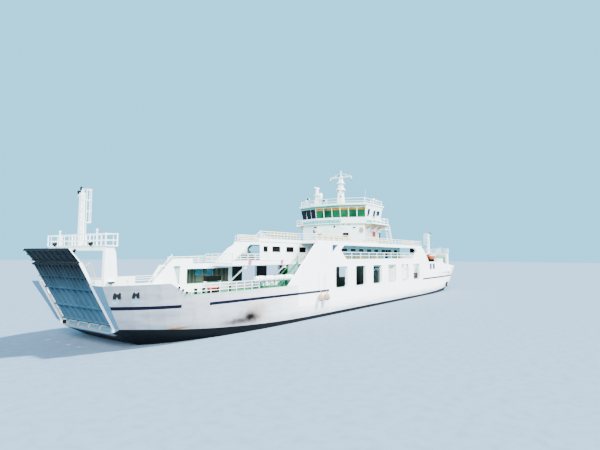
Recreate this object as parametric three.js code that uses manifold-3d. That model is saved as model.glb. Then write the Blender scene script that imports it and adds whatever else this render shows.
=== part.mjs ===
// A double-ended passenger and car ferry as a 1:10 scale model.
// X runs from the stern ramp to the bow ramp, Y to port and Z up; the origin is amidships on the waterline.
import * as THREE from 'three';
import { mergeVertices } from 'three/addons/utils/BufferGeometryUtils.js';
import Module from 'manifold-3d';

const wasm = await Module();
wasm.setup();

// Every size below is in metres of the real ferry; MODEL turns one into the model's millimetres.
const MODEL = 100;
// Pieces that touch keep this gap, 0.3 mm on the model.
const GAP = 0.003;

// Heights above the waterline
const CAR_DECK = 1.9;
const SIDE_DECK = 4.65;
const BULWARK_TOP = 5.85;
const PASSENGER_DECK = 7.6;
const BOAT_DECK = 7.1;
const AFT_SUN_DECK = 10.05;
const SUN_DECK = 10.6;
const BRIDGE_DECK = 14.15;
const WINDOW_SILL = 15.15;
const WINDOW_HEAD = 16.85;
const ROOF_UNDER = 17.2;
const ROOF_TOP = 17.65;

// Main breadths and lengths
const HALF_BEAM = 7.9;
const HALF_TROUGH = 4.4;
const END_FOOT = 47.6;
const END_RAKE = THREE.MathUtils.degToRad(60.7);
const OPEN_HALF_LENGTH = 24;
// The superstructure looks the same after half a turn about the upright line at this distance
const TURN_X = 0.8;
const SLAB = 0.3;
const SUN_SLAB = 0.4;
const AFT_SUN_SLAB = 0.3;
const SIDE_WALL = 0.4;
const BULWARK_PLATE = 0.14;
const WALL_INNER = HALF_BEAM - SIDE_WALL;
const CASING_INNER = 4.72;
const CASING_OUTER = 4.92;
const RAIL_Y = HALF_BEAM - 0.12;
const RAIL_HEIGHT = 1.0;
const RAIL_SIZE = 0.07;
const POST_SIZE = 0.085;

const paint = (color, roughness = 0.5, metalness = 0.1) =>
  new THREE.MeshStandardMaterial({ color, roughness, metalness });
const WHITE = paint('#e9ebee');
const HULL_PAINT = paint('#dfe2e6');
const DECK_GREEN = paint('#2f7a5c', 0.8);
const RAMP_GREY = paint('#6d8190', 0.7, 0.3);
const WOOD_YELLOW = paint('#e8d08a', 0.6, 0);
const RUBBER_TAN = paint('#cbbda6', 0.8, 0);
const ORANGE = paint('#e2672c', 0.5, 0);
const DARK_STEEL = paint('#2b2d30', 0.6, 0.5);
const BRONZE = paint('#9c7a3c', 0.35, 0.9);

// Solid makers: each returns a solid in metres of the ferry
function toSolid(geometry) {
  const bare = geometry.index ? geometry.toNonIndexed() : geometry.clone();
  bare.deleteAttribute('normal');
  bare.deleteAttribute('uv');
  const merged = mergeVertices(bare, 1e-5);
  return new wasm.Manifold(new wasm.Mesh({
    numProp: 3,
    vertProperties: new Float32Array(merged.attributes.position.array),
    triVerts: new Uint32Array(merged.index.array),
  }));
}

function join(solids) {
  return solids.reduce((whole, next) => whole.add(next));
}

function cut(solid, cutters) {
  return cutters.reduce((whole, cutter) => whole.subtract(cutter), solid);
}

function box([x0, x1], [y0, y1], [z0, z1]) {
  const geometry = new THREE.BoxGeometry(x1 - x0, y1 - y0, z1 - z0);
  geometry.translate((x0 + x1) / 2, (y0 + y1) / 2, (z0 + z1) / 2);
  return toSolid(geometry);
}

function extrude(points, depth) {
  const shape = new THREE.Shape(points.map(([u, v]) => new THREE.Vector2(u, v)));
  return new THREE.ExtrudeGeometry(shape, { depth, bevelEnabled: false });
}

// An outline of (x, z) points, as thick as from y0 to y1
function sidePlate(points, [y0, y1]) {
  const geometry = extrude(points, y1 - y0);
  geometry.rotateX(Math.PI / 2);
  geometry.translate(0, y1, 0);
  return toSolid(geometry);
}

// An outline of (x, y) points, from z0 up to z1
function deckPlate(points, [z0, z1]) {
  const geometry = extrude(points, z1 - z0);
  geometry.translate(0, 0, z0);
  return toSolid(geometry);
}

// A solid through rings of (x, y, z) points, all with as many points
function loft(rings) {
  const count = rings[0].length;
  const at = (ring, i) => ring * count + (i % count);
  const triangles = [];
  for (let ring = 0; ring < rings.length - 1; ring += 1) {
    for (let i = 0; i < count; i += 1) {
      triangles.push(at(ring, i), at(ring, i + 1), at(ring + 1, i + 1));
      triangles.push(at(ring, i), at(ring + 1, i + 1), at(ring + 1, i));
    }
  }
  for (let i = 1; i < count - 1; i += 1) {
    triangles.push(at(0, 0), at(0, i + 1), at(0, i));
    triangles.push(at(rings.length - 1, 0), at(rings.length - 1, i), at(rings.length - 1, i + 1));
  }
  const geometry = new THREE.BufferGeometry();
  geometry.setAttribute('position', new THREE.Float32BufferAttribute(rings.flat(2), 3));
  geometry.setIndex(triangles);
  return toSolid(geometry);
}

// A round bar or cone between two points
function bar(from, to, radius, { endRadius = radius, sides = 6 } = {}) {
  const start = new THREE.Vector3(...from);
  const end = new THREE.Vector3(...to);
  const axis = end.clone().sub(start);
  const geometry = new THREE.CylinderGeometry(
    endRadius, radius, axis.length(), sides, 1, false, Math.PI / sides);
  const drawnAlong = new THREE.Vector3(0, 1, 0);
  const turn = new THREE.Quaternion().setFromUnitVectors(drawnAlong, axis.clone().normalize());
  geometry.applyQuaternion(turn);
  geometry.translate(...start.add(end).multiplyScalar(0.5).toArray());
  return toSolid(geometry);
}

// A square bar between two points, for rails and posts
const squareBar = (from, to, size = RAIL_SIZE) => bar(from, to, size * Math.SQRT1_2, { sides: 4 });

function mirrorY(solid) {
  return solid.mirror([0, 1, 0]);
}

function halfTurn(solid) {
  return solid.rotate([0, 0, 180]).translate([2 * TURN_X, 0, 0]);
}

// An outline of (x, y) points followed by the same points after half a turn
const withHalfTurn = (points) => [...points, ...points.map(([x, y]) => [2 * TURN_X - x, -y])];

function toMesh(name, solid, material) {
  const mesh = solid.getMesh();
  const positions = new Float32Array(mesh.numVert * 3);
  for (let i = 0; i < mesh.numVert; i += 1) {
    for (let axis = 0; axis < 3; axis += 1) {
      positions[3 * i + axis] = mesh.vertProperties[mesh.numProp * i + axis] * MODEL;
    }
  }
  const geometry = new THREE.BufferGeometry();
  geometry.setAttribute('position', new THREE.BufferAttribute(positions, 3));
  geometry.setIndex(new THREE.BufferAttribute(new Uint32Array(mesh.triVerts), 1));
  geometry.computeVertexNormals();
  const result = new THREE.Mesh(geometry, material);
  result.name = name;
  return result;
}

const ferry = new THREE.Group();
const add = (name, solid, material) => ferry.add(toMesh(name, solid, material));
// Adds a starboard piece (negative Y) and its mirrored port twin
function addBothSides(name, starboard, material) {
  add(`${name}_starboard`, starboard, material);
  add(`${name}_port`, mirrorY(starboard), material);
}
// Adds a starboard piece and the port piece that half a turn makes of it
function addHalfTurn(name, starboard, material) {
  add(`${name}_starboard`, starboard, material);
  add(`${name}_port`, halfTurn(starboard), material);
}

// Hull form. Columns: distance from amidships, keel z, flat half breadth, bilge half breadth and z,
// knuckle half breadth and z (where the white meets the black), half breadth at the bulwark's top
const STATIONS = [
  [0, -2.4, 6.9, 7.9, -1.4, 7.9, 0.45, 7.9],
  [20, -2.4, 6.9, 7.9, -1.4, 7.9, 0.45, 7.9],
  [28, -2.4, 6.5, 7.6, -1.25, 7.9, 0.55, 7.9],
  [34, -2.2, 5.8, 7.0, -1.0, 7.78, 0.8, 7.9],
  [38, -1.6, 5.2, 6.4, -0.55, 7.55, 1.05, 7.9],
  [42, -0.85, 4.6, 5.8, 0.05, 7.1, 1.4, 7.88],
  [45, 0.1, 4.2, 5.3, 0.8, 6.45, 1.75, 7.6],
  [47.6, 1.4, 3.8, 4.9, 1.65, 5.6, 1.95, 7.05],
  [50.6, 2.4, 3.4, 3.9, 2.5, 4.3, 2.6, 6.1],
];

// Distances from amidships at which the hull gets a section
const SECTIONS = [0, 20, 23, 26, 29, 32, 35, 38, 40, 42, 43.5, 45, 46.3, 47.6, 49, 50.6];

// A row of the hull table at any distance, smoothly between the given rows and never overshooting them
function stationAt(x) {
  const last = STATIONS.length - 1;
  const row = Math.min(STATIONS.findLastIndex((station) => station[0] <= x), last - 1);
  const slope = (i, column) =>
    (STATIONS[i + 1][column] - STATIONS[i][column]) / (STATIONS[i + 1][0] - STATIONS[i][0]);
  const tangent = (i, column) => {
    if (i === 0 || i === last) return i === 0 ? 0 : slope(last - 1, column);
    const [before, after] = [slope(i - 1, column), slope(i, column)];
    return before * after > 0 ? (2 * before * after) / (before + after) : 0;
  };
  const span = STATIONS[row + 1][0] - STATIONS[row][0];
  const t = (x - STATIONS[row][0]) / span;
  return STATIONS[row].map((value, column) => {
    if (column === 0) return x;
    const [rise, fall] = [tangent(row, column) * span, tangent(row + 1, column) * span];
    const next = STATIONS[row + 1][column];
    return (2 * t ** 3 - 3 * t ** 2 + 1) * value + (t ** 3 - 2 * t ** 2 + t) * rise
      + (3 * t ** 2 - 2 * t ** 3) * next + (t ** 3 - t ** 2) * fall;
  });
}

const SHEER = 0.6;
function hullForm(inset) {
  const section = ([x, keel, flat, bilge, bilgeZ, knuckle, knuckleZ, top], side) => {
    const half = [
      [flat, keel], [bilge, bilgeZ], [knuckle, knuckleZ], [top, BULWARK_TOP], [top, BULWARK_TOP + SHEER],
    ];
    const port = half.map(([y, z]) => [side * x, y - inset, z]);
    const starboard = half.map(([y, z]) => [side * x, inset - y, z]).reverse();
    return [...port, ...starboard];
  };
  const rows = SECTIONS.map(stationAt);
  const aft = rows.slice(1).reverse().map((row) => section(row, -1));
  const fore = rows.map((row) => section(row, 1));
  return loft([...aft, ...fore]);
}

// What lies beyond the raked end, moved inboard by inset
function beyondEnd(side, inset) {
  const rakeX = (z) => END_FOOT - inset + (z - CAR_DECK) / Math.tan(END_RAKE);
  const foot = CAR_DECK;
  const top = BULWARK_TOP + 1;
  const points = [[END_FOOT - inset, -6], [60, -6], [60, top], [rakeX(top), top], [rakeX(foot), foot]];
  const outline = points.map(([x, z]) => [side * x, z]);
  return sidePlate(outline, [-12, 12]);
}

const ENGINE_ROOM = { from: 24.6, to: 31.4, half: 2.3, floor: -2.1, ledge: 0.3, hatch: 0.15 };
const ANCHOR = { x: 39.2, y: -7.72, z: 1.75 };
const HAWSE_PIPE = { x: 39.9, z: 1.9, inner: 6.6, outer: 7.5, radius: 0.22 };
const THRUSTER = { x: 39, y: 3.2, seat: -1.75, seatRadius: 0.95, legRadius: 0.42, axis: -3.05 };

// Ramp hinges: the axis lies inboard of the raked end by the depth of the ramp's ribs
const RAMP_DEPTH = 0.36;
const RAMP_HINGE = [END_FOOT - RAMP_DEPTH * Math.sin(END_RAKE), CAR_DECK + RAMP_DEPTH * Math.cos(END_RAKE)];
const HINGE_NOTCH = { from: 47.2, floor: 1.55 };
const LUG = { places: [-3.9, -1.95, 0, 1.95, 3.9], half: 0.1, radius: 0.12, clear: 0.05 };

function hull() {
  const openSide = box([-OPEN_HALF_LENGTH, OPEN_HALF_LENGTH], [-12, 0], [CAR_DECK, 12]);
  const deckCuts = [
    box([-60, 60], [-HALF_TROUGH, HALF_TROUGH], [CAR_DECK, 12]),
    openSide,
    halfTurn(openSide),
    box([-60, 60], [-12, 12], [SIDE_DECK, 12]),
    ...[-1, 1].map((side) => {
      const length = [side * HINGE_NOTCH.from, side * 60].sort((a, b) => a - b);
      return box(length, [-HALF_TROUGH, HALF_TROUGH], [HINGE_NOTCH.floor, 12]);
    }),
  ];
  const shape = cut(hullForm(0), [beyondEnd(1, 0), beyondEnd(-1, 0), ...deckCuts]);
  const { from, to, half, floor, ledge, hatch } = ENGINE_ROOM;
  const rooms = [-1, 1].flatMap((side) => {
    const inner = [side * from, side * to].sort((a, b) => a - b);
    const rim = [inner[0] - ledge, inner[1] + ledge];
    return [
      box(inner, [-half, half], [floor, CAR_DECK]),
      box(rim, [-half - ledge, half + ledge], [CAR_DECK - hatch, CAR_DECK + 1]),
    ];
  });
  const seats = [-1, 1].flatMap((end) => [-1, 1].map((side) => {
    const [x, y] = [end * THRUSTER.x, side * THRUSTER.y];
    return bar([x, y, THRUSTER.seat], [x, y, THRUSTER.seat + 1], THRUSTER.seatRadius, { sides: 16 });
  }));
  const pipe = HAWSE_PIPE;
  const hawsePipes = [-1, 1].map((side) =>
    bar([pipe.x, side * pipe.inner, pipe.z], [pipe.x, side * pipe.outer, pipe.z], pipe.radius, { sides: 12 }));
  const [hingeX, hingeZ] = RAMP_HINGE;
  const lugs = [-1, 1].flatMap((side) => LUG.places.map((y) => {
    const width = [y - LUG.half, y + LUG.half];
    const length = [side * (HINGE_NOTCH.from - 0.05), side * (hingeX + LUG.half)].sort((a, b) => a - b);
    return join([
      bar([side * hingeX, width[0], hingeZ], [side * hingeX, width[1], hingeZ], LUG.radius, { sides: 12 }),
      box(length, width, [HINGE_NOTCH.floor - 0.1, hingeZ]),
    ]);
  }));
  return join([cut(shape, rooms), ...seats, ...hawsePipes, ...lugs]);
}
add('hull', hull(), HULL_PAINT);

for (const [end, side] of [['stern', -1], ['bow', 1]]) {
  const { from, to, half, floor, ledge, hatch } = ENGINE_ROOM;
  const inner = [side * from, side * to].sort((a, b) => a - b);
  const rim = [inner[0] - ledge + GAP, inner[1] + ledge - GAP];
  const rimHalf = half + ledge - GAP;
  add(`engine_hatch_${end}`, box(rim, [-rimHalf, rimHalf], [CAR_DECK - hatch + GAP, CAR_DECK]), DECK_GREEN);
  const block = [inner[0] + 0.8, inner[1] - 0.8];
  add(`engine_${end}`, box(block, [-1.6, 1.6], [floor + GAP, 0.4]), DARK_STEEL);
}

// Bulwarks round the four corners. Each top edge is an outline of (distance from amidships, z)
const BULWARK_START = 41.8;
const BULWARK_SLOPE = 2.1;
const slopingUpFrom = (start) => [[start, SIDE_DECK + GAP], [start + BULWARK_SLOPE, BULWARK_TOP]];
const TOP_EDGES = {
  slopingUp: slopingUpFrom(BULWARK_START),
  slopingUpTurned: slopingUpFrom(BULWARK_START + 2 * TURN_X),
  sheer: [[BULWARK_START, 6.2], [46, BULWARK_TOP + 0.1], [49, BULWARK_TOP]],
  level: [[BULWARK_START - 2 * TURN_X, BULWARK_TOP]],
};
function bulwark(end, topEdge) {
  const shell = hullForm(0).subtract(cut(hullForm(BULWARK_PLATE), [beyondEnd(end, BULWARK_PLATE)]));
  const foot = SIDE_DECK + GAP;
  const [start] = topEdge[0];
  const low = topEdge[0][1] > foot ? [[start, foot]] : [];
  const outline = [[52, BULWARK_TOP], [52, foot], ...low, ...topEdge].map(([x, z]) => [end * x, z]);
  const band = sidePlate(outline, [-12, -HALF_TROUGH]);
  return cut(shell.intersect(band), [beyondEnd(end, 0)]);
}
add('bulwark_stern_starboard', bulwark(-1, TOP_EDGES.slopingUp), HULL_PAINT);
add('bulwark_stern_port', mirrorY(bulwark(-1, TOP_EDGES.level)), HULL_PAINT);
add('bulwark_bow_starboard', bulwark(1, TOP_EDGES.sheer), HULL_PAINT);
add('bulwark_bow_port', mirrorY(bulwark(1, TOP_EDGES.slopingUpTurned)), HULL_PAINT);

// Side walls of the superstructure, flush with the hull
const CAR_WINDOWS = { count: 6, first: -12.9, pitch: 6.16, width: 3.5, sill: 3.78, head: 6.88, corner: 0.25 };
const GALLERY_OPENING = [
  [-13.2, 9.3], [-11.5, 7.95], [16.4, 7.95], [18.2, 9.4], [17.2, 10.05], [-12.1, 10.05],
];
const CORNER_WINDOW = [[-15.6, 8.8], [-13.9, 10.05], [-15.6, 10.05]];
const GALLERY_RAIL = { from: -13.4, to: 17.8, heights: [8.5, 9.0], foot: 7.9, firstPost: -9.6, posts: 9, pitch: 3 };
const END_BULKHEAD = { from: 20.9, to: 21.05, inner: 5.3, sill: 8.8 };

function carWindow(index) {
  const { first, pitch, width, sill, head, corner } = CAR_WINDOWS;
  const middle = first + index * pitch;
  const [left, right] = [middle - width / 2, middle + width / 2];
  const outline = [
    [left + corner, sill], [right - corner, sill], [right, sill + corner], [right, head - corner],
    [right - corner, head], [left + corner, head], [left, head - corner], [left, sill + corner],
  ];
  return sidePlate(outline, [-12, 0]);
}

// Two tall windows in the wall under the boat deck
const BOAT_DECK_WINDOWS = { places: [[26.0, 27.35], [27.95, 29.4]], sill: 5.55, head: 6.78 };
// The low end of the port wall has a railing in a gap instead of a full plate
const WALL_GAP = { from: 36.2, to: 39.0, sill: 4.93, y: -7.7, rails: [5.25, 5.55, 5.81] };
const WALL_END = {
  starboard: [[BULWARK_START - GAP, 6.2], [36.5, 6.65], [35.2, 7.15]],
  port: [
    [BULWARK_START - GAP, BULWARK_TOP], [WALL_GAP.to, BULWARK_TOP], [WALL_GAP.to, WALL_GAP.sill],
    [WALL_GAP.from, WALL_GAP.sill], [WALL_GAP.from, BULWARK_TOP], [35.2, 7.15],
  ],
};

function sideWall(wallEnd) {
  const open = OPEN_HALF_LENGTH - GAP;
  const foot = SIDE_DECK + GAP;
  const top = SUN_DECK - SUN_SLAB - GAP;
  const outline = [
    [-open, CAR_DECK + GAP], [open, CAR_DECK + GAP], [open, foot], [BULWARK_START - GAP, foot],
    ...wallEnd, [25.4, 7.15], [23.7, 8.7], [22.6, 9.56], [21.2, top], [-19.6, top], [-25.9, foot],
    [-open, foot],
  ];
  const plate = sidePlate(outline, [-HALF_BEAM, -WALL_INNER]);
  const windows = Array.from({ length: CAR_WINDOWS.count }, (unused, i) => carWindow(i));
  const { places, sill, head } = BOAT_DECK_WINDOWS;
  const tall = places.map(([from, to]) => box([from, to], [-12, 0], [sill, head]));
  const openings = [sidePlate(GALLERY_OPENING, [-12, 0]), sidePlate(CORNER_WINDOW, [-12, 0])];
  const rail = GALLERY_RAIL;
  const bars = rail.heights.map((z) => squareBar([rail.from, -RAIL_Y, z], [rail.to, -RAIL_Y, z]));
  const posts = Array.from({ length: rail.posts }, (unused, i) => {
    const x = rail.firstPost + i * rail.pitch;
    return squareBar([x, -RAIL_Y, rail.foot], [x, -RAIL_Y, Math.max(...rail.heights)]);
  });
  const endBulkhead = box([END_BULKHEAD.from, END_BULKHEAD.to], [-WALL_INNER - 0.1, -END_BULKHEAD.inner],
    [END_BULKHEAD.sill, top]);
  return join([cut(plate, [...windows, ...tall, ...openings]), ...bars, ...posts, endBulkhead]);
}
add('side_wall_starboard', sideWall(WALL_END.starboard), WHITE);
const gapRails = WALL_GAP.rails.map((z) =>
  squareBar([WALL_GAP.from - 0.1, WALL_GAP.y, z], [WALL_GAP.to + 0.1, WALL_GAP.y, z]));
add('side_wall_port', halfTurn(join([sideWall(WALL_END.port), ...gapRails])), WHITE);

// Casing: the wall beside the car deck aft, with a wedge window in its slanted end, an opening and then
// only a low coaming. Distances are measured aft from amidships
const CASING_OPENING = { from: 33.5, to: 39.75, sill: 5.47, head: 7.05 };
const CASING_WEDGE = [[40.88, 5.55], [40.6, 5.55], [40.55, 7.36], [41.45, 7.36]];
const CASING_COAMING = 5.3;
const CASING_POST = 33.1;
const WIDE_END = 36.15;
const CASING_ROOF_END = 41.3;

function casing() {
  const foot = SIDE_DECK + GAP;
  const under = PASSENGER_DECK - SLAB - GAP;
  const start = OPEN_HALF_LENGTH + 0.1;
  const outline = [
    [start, foot], [45.05, foot], [41.45, 8.1], [39.0, 8.1], [38.95, PASSENGER_DECK],
    [WIDE_END + GAP, PASSENGER_DECK], [WIDE_END + GAP, under], [CASING_POST, under],
    [CASING_POST, CASING_COAMING], [start, CASING_COAMING],
  ];
  const { from, to, sill, head } = CASING_OPENING;
  const opening = [[from, sill], [to, sill], [to, head], [from, head]];
  const plates = [outline, opening, CASING_WEDGE].map((points) => points.map(([x, z]) => [-x, z]));
  const width = [-CASING_OUTER, -CASING_INNER];
  return cut(sidePlate(plates[0], width), [sidePlate(plates[1], [-12, 0]), sidePlate(plates[2], [-12, 0])]);
}
add('casing_stern_starboard', casing(), WHITE);
add('casing_bow_port', halfTurn(casing()), WHITE);

// A railing along a line of deck points: rails at each height, posts at even steps
function railing(path, { height = RAIL_HEIGHT, rails = 2, pitch = 3 } = {}) {
  const pieces = [];
  path.slice(1).forEach((end, i) => {
    const from = new THREE.Vector3(...path[i]);
    const to = new THREE.Vector3(...end);
    const posts = Math.max(1, Math.round(from.distanceTo(to) / pitch));
    for (let rail = 1; rail <= rails; rail += 1) {
      const lift = new THREE.Vector3(0, 0, (height * rail) / rails - RAIL_SIZE);
      pieces.push(squareBar(from.clone().add(lift).toArray(), to.clone().add(lift).toArray()));
    }
    for (let post = i === 0 ? 0 : 1; post <= posts; post += 1) {
      const foot = from.clone().lerp(to, post / posts);
      pieces.push(squareBar(foot.toArray(), [foot.x, foot.y, foot.z + height], POST_SIZE));
    }
  });
  return join(pieces);
}

// Passenger deck, with slots for the stairs, a narrow roof over each casing and the lower boat decks
const STAIR_SLOT = { from: -26.3, to: -20.6, inner: 5.3 };
const FASCIA = 0.1;
const WALKWAY = { inner: 3.6, top: 7.47, slab: 0.25, railTop: 8.27 };
const TERRACE_END = -31.1;
const BOAT_DECK_SPAN = { from: 24.6, to: 35.2, slab: 0.25 };
function passengerDeck() {
  const inside = WALL_INNER - GAP;
  const edge = HALF_BEAM - FASCIA - GAP;
  const slab = deckPlate(withHalfTurn([
    [-WIDE_END, -edge], [STAIR_SLOT.from, -edge], [STAIR_SLOT.from, -STAIR_SLOT.inner],
    [STAIR_SLOT.to, -STAIR_SLOT.inner], [STAIR_SLOT.to, -inside], [BOAT_DECK_SPAN.from, -inside],
    [BOAT_DECK_SPAN.from, -4.72], [32.6, 1.5], [32.6, WALKWAY.inner], [2 * TURN_X + WIDE_END, WALKWAY.inner],
  ]), [PASSENGER_DECK - SLAB, PASSENGER_DECK]);
  const walkway = box([-CASING_ROOF_END, 0.1 - WIDE_END], [GAP - CASING_INNER, -WALKWAY.inner],
    [WALKWAY.top - WALKWAY.slab, WALKWAY.top]);
  const { from, to, slab: thickness } = BOAT_DECK_SPAN;
  const boatDeck = box([from - 0.15, to], [-inside, -4.72], [BOAT_DECK - thickness, BOAT_DECK]);
  const riser = box([from - 0.15, from], [-inside, -4.72], [BOAT_DECK - thickness, PASSENGER_DECK]);
  const pieces = [walkway, boatDeck, riser];
  return join([slab, ...pieces, ...pieces.map(halfTurn)]);
}
add('passenger_deck', passengerDeck(), WHITE);

// Edge of the wide deck aft: fascia with coaming, raking struts to the side deck and all its railings
const DECK_STRUTS = [-34, -26.8];
const COAMING = { foot: 7.37, top: 7.9 };
function deckEdge() {
  const outer = [-HALF_BEAM, FASCIA - HALF_BEAM];
  const fascia = box([-WIDE_END, STAIR_SLOT.from], outer, [COAMING.foot, COAMING.top]);
  const under = PASSENGER_DECK - SLAB - 0.01;
  const struts = DECK_STRUTS.flatMap((x) => [
    squareBar([x, -5.1, 5.2], [x, -7.65, 7.12], 0.14),
    box([x - 0.1, x + 0.1], [-HALF_BEAM, -7.55], [7.0, under]),
    box([x - 0.1, x + 0.1], outer, [7.0, COAMING.foot + 0.1]),
  ]);
  const railY = FASCIA / 2 - HALF_BEAM;
  const deck = PASSENGER_DECK + GAP;
  const aft = 0.1 - WIDE_END;
  const walkwayY = -WALKWAY.inner - 0.06;
  const { top, railTop } = WALKWAY;
  const rails = [
    railing([[aft, railY, COAMING.top - 0.05], [STAIR_SLOT.from - 0.1, railY, COAMING.top - 0.05]],
      { pitch: 2.4, height: 0.8 }),
    railing([[aft, railY, deck + 0.1], [aft, walkwayY, deck]], { pitch: 2.1, height: 1.0 }),
    railing([[-CASING_ROOF_END + 0.1, walkwayY, top + GAP], [aft, walkwayY, top + GAP + 0.16]],
      { pitch: 2.06, height: railTop - top }),
    railing([[aft, walkwayY, deck], [TERRACE_END, walkwayY, deck]],
      { pitch: 2.06, height: railTop - PASSENGER_DECK }),
    railing([[TERRACE_END, walkwayY, deck], [TERRACE_END, -1.6, deck], [-23.3, 4.45, deck]], { pitch: 2.4 }),
  ];
  return join([fascia, ...struts, ...rails]);
}
addHalfTurn('deck_edge', deckEdge(), WHITE);

// Saloon: walls round a long room with slanted ends, and windows along both sides
const SALOON = { from: -28.3, to: 16.2, half: 5.0, wall: 0.15 };
const SALOON_WINDOWS = { count: 14, first: -25.02, pitch: 3.0, width: 1.75, sill: 8.9, head: 9.65 };
function saloonRoom(inset, heights) {
  const { from, to, half } = SALOON;
  const slant = Math.hypot(2 * half, 2 * TURN_X - to - from) / (2 * half);
  const lean = (2 * TURN_X - to - from) / (2 * half);
  const corner = (x, sign) => [x + inset * lean + sign * inset * slant, inset - half];
  return deckPlate(withHalfTurn([corner(from, 1), corner(to, -1)]), heights);
}
function saloon() {
  const { from, to, half, wall } = SALOON;
  const shell = saloonRoom(0, [PASSENGER_DECK + GAP, SUN_DECK - SUN_SLAB - GAP]);
  const { count, first, pitch, width, sill, head } = SALOON_WINDOWS;
  const centres = Array.from({ length: count }, (unused, i) => first + i * pitch);
  const wallBand = [-half - 1, 1 - half];
  const windows = [
    box([-27.65, -26.75], wallBand, [sill, head]),
    ...centres.map((x) => box([x - width / 2, x + width / 2], wallBand, [sill, head])),
  ];
  const slantAngle = THREE.MathUtils.radToDeg(Math.atan2(2 * half, 2 * TURN_X - to - from));
  const door = box([-0.5, 0.5], [-1, 1], [PASSENGER_DECK + 0.15, 9.75]).rotate([0, 0, slantAngle])
    .translate([(from + 2 * TURN_X - to) / 2, 0, 0]);
  const openings = [...windows, door];
  return cut(shell, [saloonRoom(wall, [0, 20]), ...openings, ...openings.map(halfTurn)]);
}
add('saloon', saloon(), WHITE);

// Sun deck: broad over the galleries, narrow over the saloon's ends, with a lower step at each end
const SUN = { aft: -28.5, broad: -19.6, tip: -32.5 };
const STEP_Y = -4.847;
function sunDeck() {
  const half = SALOON.half + 0.05;
  const main = deckPlate(withHalfTurn([
    [SUN.aft, -half], [SUN.broad, -half], [SUN.broad, -HALF_BEAM], [2 * TURN_X - SUN.broad, -HALF_BEAM],
    [2 * TURN_X - SUN.broad, -1.5],
  ]), [SUN_DECK - SUN_SLAB, SUN_DECK]);
  const heights = [AFT_SUN_DECK - AFT_SUN_SLAB, AFT_SUN_DECK];
  const step = deckPlate([[SUN.tip, STEP_Y], [-28.32, STEP_Y], [-28.32, -4.6], [-30.8, -3.2]], heights);
  const riser = box([SUN.aft, SALOON.from - GAP], [-half, -4.65], [heights[0], SUN_DECK]);
  return join([main, step, riser, halfTurn(step), halfTurn(riser)]);
}
add('sun_deck', sunDeck(), WHITE);

// Slanted wing plate at the aft end of the saloon side, with a band along its top
const aftWing = sidePlate([
  [-35.3, PASSENGER_DECK + GAP], [-33.35, PASSENGER_DECK + GAP], [-31.48, 8.88], [-30.15, 9.82],
  [SUN.aft - GAP, 9.82], [SUN.aft - GAP, AFT_SUN_DECK], [-32.6, AFT_SUN_DECK],
], [-5.05, STEP_Y - GAP]);
addHalfTurn('aft_wing', aftWing, WHITE);

// Bridge: an eight-sided tower and wheelhouse, seen from above as half breadth at each distance
const BRIDGE_X = 0.55;
const BRIDGE = { end: 4.55, endHalf: 2.55, shoulder: 3.05, half: 6.5 };
function bridgeRing(z, grow, growSide = grow) {
  const { end, endHalf, shoulder, half } = BRIDGE;
  const corners = [
    [end + grow, endHalf], [shoulder + 0.8 * grow, half + growSide],
    [-shoulder - 0.8 * grow, half + growSide], [-end - grow, endHalf],
  ];
  const port = corners.map(([x, y]) => [BRIDGE_X + x, y, z]);
  const starboard = corners.map(([x, y]) => [BRIDGE_X + x, -y, z]).reverse();
  return [...port, ...starboard];
}
add('bridge_tower', loft([bridgeRing(SUN_DECK + GAP, 0), bridgeRing(BRIDGE_DECK - GAP, 0)]), WHITE);

const BRIDGE_WALL = 0.2;
const LEAN = 0.35;
const PANE_GAP = 0.12;
// Cutters for a row of panes across the wall between two corners
function panes(from, to, count) {
  const start = new THREE.Vector2(...from);
  const step = new THREE.Vector2(...to).sub(start).divideScalar(count);
  return Array.from({ length: count }, (unused, i) => {
    const middle = start.clone().addScaledVector(step, i + 0.5);
    const height = WINDOW_HEAD - WINDOW_SILL;
    const geometry = new THREE.BoxGeometry(step.length() - PANE_GAP, 1.8, height);
    geometry.rotateZ(step.angle());
    geometry.translate(middle.x, middle.y, WINDOW_SILL + height / 2);
    return toSolid(geometry);
  });
}

// Openings in the side facets, as (from, to, sill, head): a window, the door and two small windows
const SIDE_OPENINGS = [
  [-1.8, -1.1, 15.3, 16.6], [0.35, 1.35, BRIDGE_DECK + 0.1, 16.4],
  [1.75, 2.1, 15.7, 16.5], [2.35, 2.75, 15.7, 16.5],
];
const SIDE_FACETS = [1, 5];
function wheelhouse() {
  const heights = [[BRIDGE_DECK, 0], [WINDOW_SILL - 0.1, 0], [ROOF_UNDER - GAP, LEAN]];
  const outer = loft(heights.map(([z, grow]) => bridgeRing(z, grow)));
  const inner = loft(heights.map(([z, grow], i) =>
    bridgeRing(i === 0 ? z - 1 : z + (i === 2 ? 0.5 : 0), grow - BRIDGE_WALL)));
  const ring = bridgeRing(0, LEAN / 2).map(([x, y]) => [x, y]);
  const glazed = ring.flatMap((corner, i) =>
    (SIDE_FACETS.includes(i) ? [] : panes(corner, ring[(i + 1) % ring.length], 3)));
  const sides = SIDE_OPENINGS.flatMap(([from, to, sill, head]) => {
    const opening = box([from, to], [-8, -5.8], [sill, head]);
    return [opening, mirrorY(opening)];
  });
  return cut(outer, [inner, ...glazed, ...sides]);
}
add('wheelhouse', wheelhouse(), WHITE);

// The roof overhangs the wheelhouse and has a railing round its edge
const ROOF = { ends: 0.85, sides: 0.45 };
const roofAt = (z, inset) => bridgeRing(z, ROOF.ends - inset, ROOF.sides - inset);
const roofRing = roofAt(ROOF_TOP - 0.15, 0.35);
const roof = join([loft([
  roofAt(ROOF_UNDER, 0.1), roofAt(ROOF_UNDER + 0.15, 0), roofAt(ROOF_TOP - 0.1, 0), roofAt(ROOF_TOP, 0.5),
]), railing([...roofRing, roofRing[0]], { height: 1.0, pitch: 3.4 })]);
add('wheelhouse_roof', roof, WHITE);

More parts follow.
